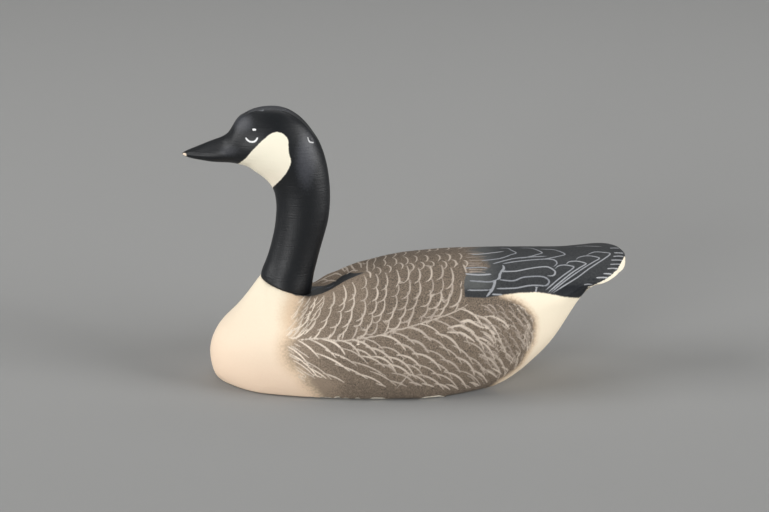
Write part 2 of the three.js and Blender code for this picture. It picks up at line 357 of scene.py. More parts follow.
def drawn(
    lines: Sequence[Line], width: float, tone: float, press: Press = Press.SWELLING,
    pigment: Pigment = Pigment.CREAM,
) -> list[BrushMark]:
    """Marks of one kind, one through the knots of each line."""
    return [BrushMark(smooth_path(line), width, tone, press, pigment) for line in lines]


@dataclass(frozen=True)
class Barb:
    """How the brush makes the strokes of one kind of feather, in pixels and degrees."""

    length: float
    bends: tuple[float, ...]
    widths: Span
    advance: float = 0.6
    bend_spread: Span = (0.8, 1.25)
    length_spread: Span = (0.8, 1.22)
    turn_spread: Span = (-4.0, 4.0)
    tone_spread: Span = (-0.14, 0.14)
    shake: float = 0.6
    most: int = 12
    steps: int = 5
    shortest: int = 5

    def chain(
        self, draw: np.random.Generator, root: Sequence[float], course: PixelRule, tone: PixelRule,
        inside: Callable[[Array], Array],
    ) -> list[BrushMark]:
        """Strokes in a row, each leaving the one before part of the way along it.

        Args:
            draw: source of the hand's unevenness.
            root: where the first stroke starts.
            course: heading of the row at a place.
            tone: how light a stroke is at a place.
            inside: whether each of some places may be painted.

        Returns:
            The strokes, cut where they would leave the area.
        """
        made = []
        place = np.asarray(root, float)
        for _ in range(self.most):
            if not inside(place[None])[0]:
                break
            start = place + draw.uniform(-self.shake, self.shake, 2)
            bends = np.asarray(self.bends) * draw.uniform(*self.bend_spread)
            bends += draw.uniform(*self.turn_spread)
            length = self.length * draw.uniform(*self.length_spread)
            path = swept_path(start, length, course(*place) + bends)
            kept = int(np.argmin(np.append(inside(path), False)))
            if kept > self.shortest:
                width = draw.uniform(*self.widths)
                lightness = tone(*place) + draw.uniform(*self.tone_spread)
                made.append(BrushMark(path[:kept], width, lightness))
            for _ in range(self.steps):
                turn = math.radians(course(*place))
                stride = self.length * self.advance / self.steps
                place = place + stride * np.array([math.cos(turn), math.sin(turn)])
        return made


@dataclass(frozen=True)
class Hair:
    """How the brush makes one kind of short stroke: the ranges, in pixels and degrees."""

    headings: tuple[float, ...]
    turn: Span
    length: Span
    width: Span
    tone: Span
    press: Press = Press.SWELLING

    def stroke(self, draw: np.random.Generator, start: Sequence[float], course: float = 0.0) -> BrushMark:
        """One stroke that leaves a point, its headings counted from a course.

        Args:
            draw: source of the hand's unevenness.
            start: where the stroke starts.
            course: the heading that its own headings are added to.

        Returns:
            The stroke.
        """
        headings = course + draw.uniform(*self.turn) + np.array(self.headings)
        path = swept_path(start, draw.uniform(*self.length), headings)
        return BrushMark(path, draw.uniform(*self.width), draw.uniform(*self.tone), self.press)


@dataclass(frozen=True)
class Grid:
    """Rows of places, in pixels, that the hand sets down a little unevenly."""

    first: Span
    step: Span
    rows: int
    columns: int
    shake: Span
    lean: float = 0.0
    stagger: float = 0.0

    def places(self, draw: np.random.Generator) -> Iterator[tuple[int, float, float]]:
        """Places row by row.

        Args:
            draw: source of the hand's unevenness.

        Yields:
            The row's number, and the place across and down.
        """
        for row in range(self.rows):
            for column in range(self.columns):
                shift = (self.lean * row + self.stagger * (row % 2), 0.0)
                steps = self.step * np.array([column, row])
                shaken = [draw.uniform(-most, most) for most in self.shake]
                x, y = np.array(self.first) + steps + shift + shaken
                yield row, x, y


@dataclass
class MarkSheet:
    """Brush marks laid on a skin as close dots, each with its half width and its tone."""

    skin: BVHTree
    dots: dict[Pigment, list[Array]] = field(default_factory=dict)
    dot_gap: float = 0.12 * MM
    jump: float = 3.0 * MM
    shared_back: Span = (-16.0 * MM, 26.0 * MM)
    overlap: float = 0.3 * MM

    def lay(self, mark: BrushMark, side: Side) -> None:
        """Lays one mark where the eye's lines of sight strike the skin, or mirrored.

        Along the brown back each side has its own marks up to the middle. Elsewhere the near
        marks reach as far as the eye sees, and the mirrored ones cover the rest.

        Args:
            mark: the mark, in pixels.
            side: the side that it is laid on.
        """
        hits = EYE.strike(self.skin, mark.path)
        along = np.linspace(0.0, 1.0, len(hits))
        half = 0.5 * mark.width * mark.press.share(along) / EYE.pixels_per_mm
        struck = ~np.isnan(hits[:, 0])
        own = hits[:, 1] < self.overlap
        shared = (hits[:, 0] > self.shared_back[0]) & (hits[:, 0] < self.shared_back[1])
        if side is Side.NEAR:
            struck &= own | ~shared
        else:
            hits[:, 1] *= -1.0
            struck &= own
            elsewhere = struck & ~shared
            struck[elsewhere] = ~EYE.sees(self.skin, hits[elsewhere])
        for i in np.flatnonzero(struck[:-1] & struck[1:]):
            span = np.linalg.norm(hits[i + 1] - hits[i])
            if span < self.jump:
                t = np.linspace(0.0, 1.0, max(int(span / self.dot_gap), 1), endpoint=False)[:, None]
                ends = np.vstack([np.append(hits[j], half[j]) for j in (i, i + 1)])
                rows = ends[0] * (1 - t) + ends[1] * t
                dots = np.column_stack([rows, np.full(len(rows), mark.tone)])
                self.dots.setdefault(mark.pigment, []).append(dots)

    def finders(self) -> dict[Pigment, Finder]:
        """A finder of the nearest dots for each pigment."""
        return {pigment: self.finder(np.vstack(rows)) for pigment, rows in self.dots.items()}

    @staticmethod
    def finder(dots: Array) -> Finder:
        """Function that gives some places their nearest dots, and how far off these are.

        Args:
            dots: one row for each dot.

        Returns:
            The function.
        """
        tree = KDTree(len(dots))
        for i, dot in enumerate(dots):
            tree.insert(dot[:3], i)
        tree.balance()

        def nearest(places: Array) -> tuple[Array, Array]:
            """The nearest dot of each place, and its distance in millimetres."""
            found = [tree.find(place)[1:] for place in places]
            return dots[[index for index, _ in found]], np.array([gap for _, gap in found]) / MM

        return nearest


# Carved blocks


def deselect_all() -> None:
    """Leaves object mode with nothing selected."""
    if bpy.context.object and bpy.context.object.mode != "OBJECT":
        bpy.ops.object.mode_set(mode="OBJECT")
    bpy.ops.object.select_all(action="DESELECT")


def vectors_of(items: bpy.types.bpy_prop_collection, name: str) -> Array:
    """One vector of each item, such as its place or normal, as rows.

    Args:
        items: the items, such as a mesh's points.
        name: the property that holds the vector.

    Returns:
        One row for each item.
    """
    flat = np.empty(3 * len(items), np.float32)
    items.foreach_get(name, flat)
    return flat.reshape(-1, 3).astype(float)


def lumps(places: Array, size_mm: float, seed: float) -> Array:
    """Smooth unevenness from -1 to 1 at each place, with lumps of a given size.

    Args:
        places: points in metres.
        size_mm: how wide a lump is.
        seed: which unevenness it is.

    Returns:
        One value for each place.
    """
    shift = Vector((seed, 1.7 * seed, -0.6 * seed))
    scale = 1.0 / (size_mm * MM)
    return np.array([noise.noise(Vector(p) * scale + shift) for p in places])


@dataclass
class CarvedBlock:
    """One block of the bird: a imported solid, smoothed, carved, painted and dressed."""

    node: str
    piece: str
    slot: str
    seed: int
    levels: int
    flat_level: float = 0.0
    edge_crease: float = 0.8
    split_reaches: Pairs = ()
    hard_edges: tuple[str, ...] = ()
    unevenness: Pairs = ((14.0, 0.16), (4.5, 0.05))
    edge_rise: float = 2.0
    doubles_gap: float = 0.01 * MM
    quad_angle: float = math.radians(60.0)

    def smooth_copy(self) -> bpy.types.Object:
        """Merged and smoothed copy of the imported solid, as a new object at the origin.

        Returns:
            The new object.
        """
        deselect_all()
        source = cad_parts[self.node]
        block = bpy.data.objects.new(self.piece, source.data.copy())
        block.data.materials.clear()
        bpy.context.scene.collection.objects.link(block)
        bpy.context.view_layer.objects.active = block
        block.select_set(True)
        bpy.ops.object.mode_set(mode="EDIT")
        bpy.ops.mesh.select_all(action="SELECT")
        bpy.ops.mesh.remove_doubles(threshold=self.doubles_gap)
        bpy.ops.mesh.tris_convert_to_quads(face_threshold=self.quad_angle, shape_threshold=self.quad_angle)
        bpy.ops.object.mode_set(mode="OBJECT")
        self.crease_flat(block.data)
        finer = block.modifiers.new("finer", "SUBSURF")
        finer.levels = finer.render_levels = self.levels
        bpy.ops.object.modifier_apply(modifier=finer.name)
        return block

    def is_flat(self, places: Array) -> Array:
        """Whether each place lies on the sawn flat of the block."""
        raise NotImplementedError

    def crease_flat(self, mesh: bpy.types.Mesh) -> None:
        """Keeps the edge of the sawn flat sharp when the block is smoothed.

        Args:
            mesh: the block's mesh, before it is smoothed.
        """
        bm = bmesh.new()
        bm.from_mesh(mesh)
        crease = bm.edges.layers.float.new("crease_edge")
        flat = self.is_flat(np.array([v.co for v in bm.verts]))
        sawn = {f.index for f in bm.faces if all(flat[v.index] for v in f.verts)}
        for edge in bm.edges:
            if sum(f.index in sawn for f in edge.link_faces) == 1:
                edge[crease] = self.edge_crease
        bm.to_mesh(mesh)
        bm.free()

    def marks(self, draw: np.random.Generator) -> list[BrushMark]:
        """Brush marks of one side."""
        raise NotImplementedError

    def scrapes(self) -> list[BrushMark]:
        """Light scrapes and nicks that only the near side has."""
        raise NotImplementedError

    def fields(self, places: Array, seen: Array) -> dict[str, Array]:
        """Painted areas, in millimetres and positive inside each, and shades, over the skin.

        Args:
            places: points of the skin, in metres.
            seen: pixels where those points, mirrored to the near side, are seen.

        Returns:
            One value for each point, under the name of each field.
        """
        raise NotImplementedError

    def carve(self, places: Array, directions: Array, values: dict[str, Array]) -> Array:
        """Moves the skin's points a little, as knife and wear do.

        Args:
            places: the points, in metres.
            directions: the outward direction at each of them.
            values: the fields over them.

        Returns:
            Their new places.
        """
        moved = places.copy()
        free = eased(places[:, 2] / MM, self.flat_level, self.flat_level + self.edge_rise)
        for turn, (size, depth) in enumerate(self.unevenness):
            push = depth * MM * free * lumps(places, size, self.seed + 10.0 * turn)
            moved += push[:, None] * directions
        return moved

    def painted(self, places: Array) -> dict[str, Array]:
        """The fields over some places, in metres, on either side.

        Args:
            places: one row for each place.

        Returns:
            What fields() gives for them.
        """
        near = places.copy()
        near[:, 1] = -np.abs(near[:, 1])
        return self.fields(places, EYE.project(near))

    def split_where_fine(self, mesh: bpy.types.Mesh, finders: Iterable[Finder]) -> None:
        """Splits the skin's faces near marks and hard paint edges, so that it can carry them.

        Args:
            mesh: the skin.
            finders: what finds the nearest dots of each pigment.
        """
        bm = bmesh.new()
        bm.from_mesh(mesh)
        for mark_reach, edge_reach in self.split_reaches:
            centres = np.array([face.calc_center_median() for face in bm.faces])
            values = self.painted(centres)
            fine = np.any([np.abs(values[name]) < edge_reach for name in self.hard_edges], axis=0)
            for nearest in finders:
                dots, gaps = nearest(centres)
                fine |= (gaps < mark_reach) | (np.abs(dots[:, 3] - gaps) < edge_reach)
            fine &= ~self.is_flat(centres)
            chosen = [edge for face, near in zip(bm.faces, fine) if near for edge in face.edges]
            edges = list(dict.fromkeys(chosen))
            bmesh.ops.subdivide_edges(bm, edges=edges, cuts=1, use_grid_fill=True)
        bm.to_mesh(mesh)
        bm.free()

    def build(self) -> bpy.types.Object:
        """Makes the finished piece, without its material.

        Returns:
            The piece's object.
        """
        block = self.smooth_copy()
        mesh = block.data
        skin = BVHTree.FromObject(block, bpy.context.evaluated_depsgraph_get())
        sheet = MarkSheet(skin)
        for turn, side in enumerate(Side):
            for mark in self.marks(np.random.default_rng(self.seed + turn)):
                sheet.lay(mark, side)
        for mark in self.scrapes():
            sheet.lay(mark, Side.NEAR)
        finders = sheet.finders()
        self.split_where_fine(mesh, finders.values())
        places = vectors_of(mesh.vertices, "co")
        values = self.painted(places)
        for pigment, nearest in finders.items():
            dots, gaps = nearest(places)
            values[f"{pigment.value}_mark"] = dots[:, 3] - gaps
            values[f"{pigment.value}_tone"] = dots[:, 4]
        for name, value in values.items():
            layer = mesh.attributes.new(name, "FLOAT", "POINT")
            kept = np.clip(value, -FIELD_LIMIT, FIELD_LIMIT)
            layer.data.foreach_set("value", kept.astype(np.float32))
        moved = self.carve(places, vectors_of(mesh.vertex_normals, "vector"), values)
        mesh.vertices.foreach_set("co", moved.astype(np.float32).ravel())
        mesh.update()
        deselect_all()
        block.select_set(True)
        bpy.context.view_layer.objects.active = block
        bpy.ops.object.shade_smooth()
        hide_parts(self.node)
        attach(block, "root")
        return block


@dataclass
class Body(CarvedBlock):
    """The body: cream breast and rump, brown back and flanks, black wings and tail.

    The brown and the groove, their patches and the levels are in millimetres. The wing, the
    collar, the worn places and the strokes are in pixels.
    """

    node: str = "body"
    piece: str = "carved_body"
    slot: str = "painted_body"
    seed: int = 11
    levels: int = 1
    split_reaches: Pairs = ((0.9, 0.7), (0.4, 0.22), (0.2, 0.0))
    hard_edges: tuple[str, ...] = ("black", "worn")

    brown_side: Line = (
        (-45, 70), (-45, 37), (-46.5, 34.8), (-47.2, 31.7), (-46.2, 27.5), (-48.5, 22.2), (-47.8, 16.8),
        (-44.6, 12.9), (-41.5, 11.1), (-39.5, 7.1), (-36.4, 3.9), (-33.7, 1), (-33, -5), (33, -5), (33, 0),
        (37.7, 5.3), (42.1, 7.8), (46, 11.6), (48.5, 17.4), (50.7, 22.6), (51.3, 29), (50.8, 32.9),
        (48.7, 36), (45.5, 39.3), (42, 40.8), (37.3, 42), (37.3, 70),
    )
    wing_area: Line = (
        (465, 297), (485, 298), (495, 296), (519, 293), (536, 292), (550, 294), (562, 296.5), (570, 297.5),
        (581, 298), (587, 289), (593, 286), (605, 281), (611, 277), (619, 268), (624, 259), (640, 230),
        (560, 200), (466, 200), (466, 247), (471, 252), (479, 256), (486, 262), (490, 266), (482, 270),
        (468, 273.5), (465, 277), (464, 285),
    )
    collar_area: Line = (
        (240, 250), (259, 272), (262, 278), (273.7, 284.6), (282, 290), (295.7, 295.6), (308, 296.3),
        (317, 294), (318, 260),
    )
    groove_far: Pairs = (
        (-45, 8), (-36, 6), (-32.7, 4.8), (-28.2, 5.4), (-25, 5.4), (-22.1, 4.4), (-19.8, 0), (-17.5, -4.3),
        (-16.3, -6.5),
    )
    groove_near: Pairs = (
        (-45, -8), (-36, -6), (-32.7, -5), (-28, -5.4), (-24, -6), (-21, -7.6), (-19.5, -8.3), (-17.1, -6.9),
        (-16.3, -6.4),
    )
    divide_line: Pairs = (
        (298, 340), (319, 339), (340, 340.5), (360, 339), (378, 335.5), (394, 330.5), (405, 328.5),
        (422, 323), (439, 317.6), (456, 311), (470, 303),
    )
    back_top: Pairs = (
        (312, 299), (325, 294), (337, 286), (345, 281), (356, 277), (364, 273), (372, 271), (388, 268.5),
        (400, 266.5), (425, 264.5), (470, 263),
    )
    flank_foot: Pairs = (
        (280, 352), (290, 362), (312, 376), (336, 381), (364, 387), (392, 387), (430, 386), (447, 391),
        (474, 388), (485, 384), (500, 376), (530, 350),
    )
    tail_rim: tuple[Row, ...] = (
        (624.5, 257, 0.3), (622, 266, 2.3), (618.5, 271.5, 2.3), (611, 277, 1.3), (605, 281, 1.1),
        (593, 286, 0.9), (588, 287, 0.3),
    )
    worn_edge: float = 0.4
    rim_chips: tuple[Row, ...] = (
        (306, 317, 0.35), (317, 334, 0.5), (333, 342, 1.0), (342, 350, 0.5), (354, 361, 0.7),
        (368, 387, 0.9), (419, 446, 1.1),
    )
    chip_bluntness: int = 4
    far_chip_shift: float = 60.0
    foot_row: float = 300.0
    dent_depth: float = 0.15 * MM
    foot_round: float = 0.5
    foot_tuck: float = 0.06
    flat_slack: float = 0.01 * MM
    bare_depths: Span = (0.2, -3.0)

    groove_ends: Span = (-45.0, -16.0)
    groove_floor: float = 30.0
    groove_side: float = -10.0
    groove_dust_and_sheen: float = 0.1
    # Painted sheen: the groove's black lighter towards its front end, by the neck.
    groove_front_sheen: Patch = Patch(0.22, (-31.0, -35.0))
    wing_dust: float = 0.13
    wing_dust_patches: tuple[Patch, ...] = (
        Patch(0.4, (505.0, 475.0), (292.0, 286.0)), Patch(-0.15, (552.0, 562.0), (282.0, 288.0)),
    )
    wing_fade: Patch = Patch(0.85, (510.0, 480.0), (276.0, 270.0))
    breast_side: Patch = Patch(1.0, (-22.0, -38.0))
    corner: Patch = Patch(1.0, (-20.0, -34.0), (15.0, 7.0))
    shoulder: Patch = Patch(1.0, (-34.0, -42.0), (22.0, 32.0))
    corner_hold: float = 0.85
    wash_reach: float = 1.1
    wash_thinning: float = 0.45
    brown_thinning: float = 0.66
    brown_retreat: float = 0.75
    corner_retreat: float = 0.25
    brown_lift: float = 0.48
    # Lighter beside the breast and at the lower front corner, and painted light on the far shoulder.
    # Painted shade: the brown darker low on the flank near the foot and along the top of the back.
    brown_lift_and_painted_shading: tuple[Patch, ...] = (
        Patch(0.42, (-22.0, -46.0)), Patch(0.5, (-20.0, -34.0), (15.0, 7.0)),
        Patch(0.16, (-10.0, -18.0), (34.0, 39.0)), Patch(-0.1, (-24.0, -2.0), (12.0, 3.0)),
        Patch(-0.1, (-22.0, -8.0), (30.0, 40.0)),
    )
    # The cream runs warmer and darker towards the bottom, less so on the rump.
    warm_levels: Span = (46.0, 4.0)
    cool_rump: Patch = Patch(0.6, (20.0, 40.0))

    back_start: float = 288.0
    back_end: Pairs = ((250, 474), (262, 470), (282, 463), (303, 466))
    back_columns: tuple[Row, ...] = ((314.0, 346.0, 9.6), (352.5, 466.0, 11.0))
    back_turn: Pairs = ((0, 81), (0.3, 93), (0.65, 107), (1, 124))
    back_lean: Pairs = ((308, 28), (320, 19), (334, 8), (350, 0))
    back_tone: Pairs = ((305, 0.8), (330, 0.56), (360, 0.4), (440, 0.28))
    back_barb: Barb = Barb(length=21.5, bends=(-22.0, -10.0, 4.0, 22.0, 54.0, 70.0), widths=(1.25, 2.0))

    crest_line: Pairs = ((352, 264.5), (365, 260), (385, 255), (405, 252.3), (470, 249.2))
    crest_grid: Grid = Grid((371.0, 4.0), (10.8, 6.2), rows=2, columns=9, shake=(1.2, 0.7), lean=5.5)
    crest_arc: tuple[float, ...] = (8.0, 30.0, 76.0, 120.0, 138.0)
    crest_tones: Span = (0.38, 0.34)
    fringe_start: float = 466.0
    fringe_rows: tuple[float, ...] = (251.2, 254.0, 257.2, 260.4, 263.6, 266.4, 269.4, 272.0)

    breast_grid: Grid = Grid((299.0, 301.0), (6.2, 5.2), rows=7, columns=4, shake=(2.0, 1.2), lean=-2.2)
    breast_hair: Hair = Hair((116.0, 140.0), (-5.0, 8.0), (9.0, 16.0), (0.8, 1.4), (0.55, 0.95))
    hair_rise: Span = (7.0, -5.0)
    low_rows: tuple[float, float, int] = (343.0, 2.1, 17)
    low_edge: Pairs = ((341.0, 284.0), (441.0, 319.0))
    low_hair: Hair = Hair((24.0, 36.0), (-5.0, 6.0), (7.0, 14.0), (0.7, 1.2), (0.5, 0.9))

    flank_start: float = 281.0
    flank_end: Pairs = ((298, 508), (306, 522), (314, 529), (328, 532), (345, 528), (365, 514), (384, 490))
    flank_turn: Pairs = ((285, 42), (315, 32), (350, 24), (430, 30), (480, 44), (520, 60))
    flank_tone: Pairs = ((290, 0.88), (320, 0.62), (360, 0.42), (430, 0.36), (490, 0.46))
    flank_roots: tuple[float, float, int] = (297.0, 13.4, 13)
    flank_barb: Barb = Barb(length=31.0, bends=(-26.0, -8.0, 14.0, 30.0), widths=(1.1, 2.25), advance=0.62)
    front_roots: Pairs = ((287.0, 346.5), (290.5, 353.5), (294.0, 360.5), (297.5, 367.5))
    front_barb: Barb = Barb(length=34.0, bends=(-13.0, -4.0, 6.0, 14.0), widths=(1.0, 1.8), advance=0.66)

    rump_edge: Pairs = ((298, 508), (306, 522), (314, 530), (328, 534), (345, 530), (365, 517), (384, 494))
    rump_turn: Pairs = ((300, 32), (314, 62), (330, 84), (345, 102), (370, 122))
    rump_grid: Grid = Grid((462.0, 304.0), (8.4, 6.6), rows=13, columns=10, shake=(1.6, 1.4), stagger=4.2)
    rump_arc: tuple[float, ...] = (-26.0, -10.0, 10.0, 26.0)
    rump_gap: float = 4.0
    rump_rise: float = 0.55
    rump_level: float = 340.0
    rump_reach: float = 60.0
    rump_taper: float = 3.0
    rump_widest_row: int = 4
    rump_shortest: int = 8
    rump_hairs: int = 56
    rump_hair_rows: Span = (299.0, 376.0)
    rump_hair: Hair = Hair((0.0, 8.0), (-18.0, 6.0), (5.0, 10.0), (0.6, 1.1), (0.3, 0.75), Press.LIFTED)

    def is_flat(self, places: Array) -> Array:
        """See the base class. It is the underside."""
        return places[:, 2] < self.flat_slack

    def chips(self, y: Array, z: Array, seen: Array) -> Array:
        """How far below the top edge of a chip at the foot each place is, in millimetres.

        Args:
            y: places across the bird.
            z: their heights.
            seen: pixels where they are seen.

        Returns:
            One depth for each place, negative outside the chips.
        """
        chip = np.full(len(z), -FIELD_LIMIT)
        draw = np.random.default_rng(self.seed)
        for start, end, height in self.rim_chips:
            middle, half = 0.5 * (start + end), 0.5 * (end - start)
            for side in Side:
                most = self.far_chip_shift
                shift = 0.0 if side is Side.NEAR else draw.uniform(-most, most)
                bump = 1.0 - ((seen[:, 0] - middle - shift) / half) ** self.chip_bluntness
                reach = (height + self.foot_round) * np.clip(bump, 0.0, 1.0) - z
                here = (np.sign(y) == -side.value) & (seen[:, 1] > self.foot_row)
                chip = np.where(here, np.maximum(chip, reach), chip)
        return chip

    def worn_rim(self, seen: Array) -> Array:
        """How far inside the tail's worn rim each place is, in millimetres.

        Args:
            seen: pixels where the places are seen.

        Returns:
            One depth for each place, negative outside the rim.
        """
        rim = np.full(len(seen), -FIELD_LIMIT)
        for (*start, width), (*end, end_width) in zip(self.tail_rim, self.tail_rim[1:]):
            gap, share = gap_to_edge(seen, np.array(start), np.array(end))
            rim = np.maximum(rim, (width + share * (end_width - width) - gap) / EYE.pixels_per_mm)
        return rim

    def fields(self, places: Array, seen: Array) -> dict[str, Array]:
        """See the base class."""
        x, y, z = (places / MM).T
        groove = np.minimum(read_off(self.groove_far, x) - y, y - read_off(self.groove_near, x))
        front, back = self.groove_ends
        groove[(x < front) | (x > back) | (z < self.groove_floor)] = -FIELD_LIMIT
        wing = depth_inside(seen, self.wing_area) / EYE.pixels_per_mm
        collar = depth_inside(seen, self.collar_area) / EYE.pixels_per_mm
        brown = depth_inside(np.column_stack([x, z]), self.brown_side)
        breast_side, corner = self.breast_side.over(x, z), self.corner.over(x, z)
        retreat = breast_side * (1.0 - self.corner_hold * corner) + self.shoulder.over(x, z)
        thinned = brown * (1.0 - self.brown_thinning * breast_side)
        groove_dust_and_sheen = self.groove_dust_and_sheen + self.groove_front_sheen.over(x, z)
        wing_dust = sum((patch.over(*seen.T) for patch in self.wing_dust_patches), self.wing_dust)
        return {
            "wash": brown * (1.0 - self.wash_thinning * breast_side) + self.wash_reach,
            "brown": thinned - self.brown_retreat * retreat - self.corner_retreat * corner,
            "black": np.maximum.reduce([groove, wing * (1.0 - self.wing_fade.over(*seen.T)), collar]),
            "worn": np.maximum(self.chips(y, z, seen), self.worn_rim(seen)),
            "bare": np.where(self.is_flat(places), *self.bare_depths),
            "warm": eased(z, *self.warm_levels) * (1.0 - self.cool_rump.over(x, z)),
            # The brown's lightness, with the painted light and shade of its patches.
            "lift": sum((patch.over(x, z) for patch in self.brown_lift_and_painted_shading), self.brown_lift),
            # Dusting on the black, with painted sheen at the groove's front end.
            "dust_and_sheen": np.where(x < self.groove_side, groove_dust_and_sheen, wing_dust),
        }

    def carve(self, places: Array, directions: Array, values: dict[str, Array]) -> Array:
        """See the base class. Chips and the worn rim are dents, and the foot's edge is tucked in."""
        moved = super().carve(places, directions, values)
        dent = self.dent_depth * eased(values["worn"], 0.0, self.worn_edge)
        moved -= dent[:, None] * directions
        low = np.clip(1.0 - places[:, 2] / MM / self.foot_round, 0.0, 1.0)
        return moved * (1.0 - self.foot_tuck * low[:, None] * (1.0, 1.0, 0.0))

    def marks(self, draw: np.random.Generator) -> list[BrushMark]:
        """See the base class."""
        groups = (
            self.divide_marks, self.back_marks, self.crest_marks, self.breast_marks, self.flank_marks,
            self.rump_marks, self.covert_marks, self.primary_marks, self.tail_marks,
        )
        return [mark for group in groups for mark in group(draw)]

    def scrapes(self) -> list[BrushMark]:
        """See the base class."""
        lines = (
            (1.2, 0.75, ((325, 349.6), (327, 350.4), (328.4, 351.4))),
            (1.6, 0.9, ((329, 351.6), (331.5, 352.6), (333.5, 353.8))),
            (1.2, 0.8, ((335, 353.8), (337, 355), (339, 355.6))),
            (1.1, 0.75, ((340, 356.2), (342.5, 357.6), (344.5, 358.6))),
            (1.4, 0.95, ((356.6, 344.8), (358, 344.2), (359.4, 344))),
        )
        return [mark for width, tone, line in lines for mark in drawn([line], width, tone, Press.EVEN)]

    def divide_marks(self, draw: np.random.Generator) -> list[BrushMark]:
        """The long light line between back and flank.

        Args:
            draw: source of the hand's unevenness.

        Returns:
            The marks.
        """
        line = np.asarray(self.divide_line) + draw.uniform(-0.4, 0.4, (len(self.divide_line), 2))
        bright = drawn([line[:4]], 1.9, 0.66, Press.LIFTED)
        return drawn([line], 1.3, 0.36, Press.EVEN) + bright

    def divide_level(self, x: Array) -> Array:
        """Pixel row of the line between back and flank."""
        return read_off(self.divide_line, x)

    def on_back(self, at: Array) -> Array:
        """Whether pixels lie between the crest and the dividing line, short of the wing.

        Args:
            at: one row for each pixel.

        Returns:
            One answer for each pixel.
        """
        x, y = at.T
        level = (y > read_off(self.back_top, x) - 1.0) & (y < self.divide_level(x) - 0.6)
        return level & (x > self.back_start) & (x < read_off(self.back_end, y))

    def on_flank(self, at: Array) -> Array:
        """Whether pixels lie on the brown below the dividing line.

        Args:
            at: one row for each pixel.

        Returns:
            One answer for each pixel.
        """
        x, y = at.T
        level = (y > self.divide_level(x) - 1.0) & (y < read_off(self.flank_foot, x))
        return level & (x > self.flank_start) & (x < read_off(self.flank_end, y))

    def back_marks(self, draw: np.random.Generator) -> list[BrushMark]:
        """Columns of curved strokes that run from the crest down to the dividing line.

        Args:
            draw: source of the hand's unevenness.

        Returns:
            The marks.
        """

        def course(x: float, y: float) -> float:
            """Down, leaning forward near the breast and near the dividing line."""
            depth = np.interp(y, [read_off(self.back_top, x), self.divide_level(x)], [0.0, 1.0])
            return float(read_off(self.back_turn, depth) + read_off(self.back_lean, x))

        def tone(x: float, y: float) -> float:
            """Brightest beside the breast."""
            return float(read_off(self.back_tone, x))

        columns = np.concatenate([np.arange(*span) for span in self.back_columns])
        made = []
        for x in columns + draw.uniform(-1.0, 1.0, len(columns)):
            y = float(read_off(self.back_top, x)) + draw.uniform(0.0, 4.0)
            made += self.back_barb.chain(draw, (x, y), course, tone, self.on_back)
        return made

    def crest_marks(self, draw: np.random.Generator) -> list[BrushMark]:
        """Small arcs along the crest and over the far shoulder, and the fringe over the wing.

        Args:
            draw: source of the hand's unevenness.

        Returns:
            The marks.
        """
        shoulder = (
            ((322, 283), (330, 280.5), (336, 281)), ((329, 276.5), (336, 273.5), (342, 275.5)),
            ((336, 269), (341, 268), (345, 271.5)), ((350.5, 263.5), (352.5, 267.5), (356, 271.5)),
            ((318, 281.5), (324, 279.5), (329, 281)), ((363, 263), (366.5, 266), (367.5, 271)),
            ((314, 284), (322, 279.6), (331, 275)), ((331, 272), (338, 268), (346, 264.8)),
            ((342, 266.5), (346.5, 268), (348.5, 272)), ((357, 262), (360.5, 264), (361.5, 268)),
            ((347, 274), (352, 271), (358, 270.5)), ((366, 270.5), (370, 273), (370.5, 278)),
        )
        # Bluish grey streaks in the groove beside the neck: painted sheen.
        groove_sheen_streaks = (((311, 290.5), (317, 287.8), (323, 286.8)), ((325, 288.4), (330, 287), (334, 284.6)))
        made = drawn(shoulder, 1.8, 0.46) + drawn(groove_sheen_streaks, 1.9, 0.0, pigment=Pigment.GREY)
        for row, x, drop in self.crest_grid.places(draw):
            start = (x, float(read_off(self.crest_line, x)) + drop)
            path = swept_path(start, draw.uniform(9.0, 12.0), self.crest_arc)
            made.append(BrushMark(path, draw.uniform(1.2, 1.8), self.crest_tones[row]))
        for y in self.fringe_rows:
            start = (self.fringe_start + draw.uniform(-2.0, 3.0), y + draw.uniform(-0.6, 0.6))
            length = draw.uniform(13.0, 22.0)
            path = swept_path(start, length, (draw.uniform(-8.0, 4.0), draw.uniform(-4.0, 8.0)))
            made.append(BrushMark(path, draw.uniform(1.5, 2.4), draw.uniform(-0.1, 0.16), Press.LIFTED))
        return made

    def breast_marks(self, draw: np.random.Generator) -> list[BrushMark]:
        """Bright slanting strokes where the brown is brushed into the cream breast.

        Args:
            draw: source of the hand's unevenness.

        Returns:
            The marks.
        """
        made = []
        right, down = self.hair_rise
        for _, x, y in self.breast_grid.places(draw):
            if y <= self.divide_level(x) - 3.0:
                made.append(self.breast_hair.stroke(draw, (x + right, y + down)))
        first, step, count = self.low_rows
        for k in range(count):
            y = first + step * k + draw.uniform(-0.8, 0.8)
            start = (float(read_off(self.low_edge, y)) + draw.uniform(-2.0, 15.0), y)
            made.append(self.low_hair.stroke(draw, start))
        return made

    def flank_marks(self, draw: np.random.Generator) -> list[BrushMark]:
        """Long chains of strokes that branch off the dividing line and sweep down and back.

        Args:
            draw: source of the hand's unevenness.

        Returns:
            The marks.
        """

        def course(x: float, y: float) -> float:
            """Steep beside the breast, flatter amidships and steep again at the rump."""
            return float(read_off(self.flank_turn, x))

        def tone(x: float, y: float) -> float:
            """Brightest beside the breast."""
            return float(read_off(self.flank_tone, x))

        made = []
        first, step, count = self.flank_roots
        for k in range(count):
            x = first + step * k + draw.uniform(-2.4, 2.4)
            barb = self.front_barb if k < 2 else self.flank_barb
            made += barb.chain(draw, (x, float(self.divide_level(x))), course, tone, self.on_flank)
        for x, y in self.front_roots:
            root = (x, y + draw.uniform(-0.6, 0.6))
            made += self.front_barb.chain(draw, root, course, tone, self.on_flank)
        cross = (((397, 388), (411, 372)), ((411, 374), (417, 379)), ((462, 281), (460.5, 287)))
        return made + drawn(cross, 1.1, 0.36)

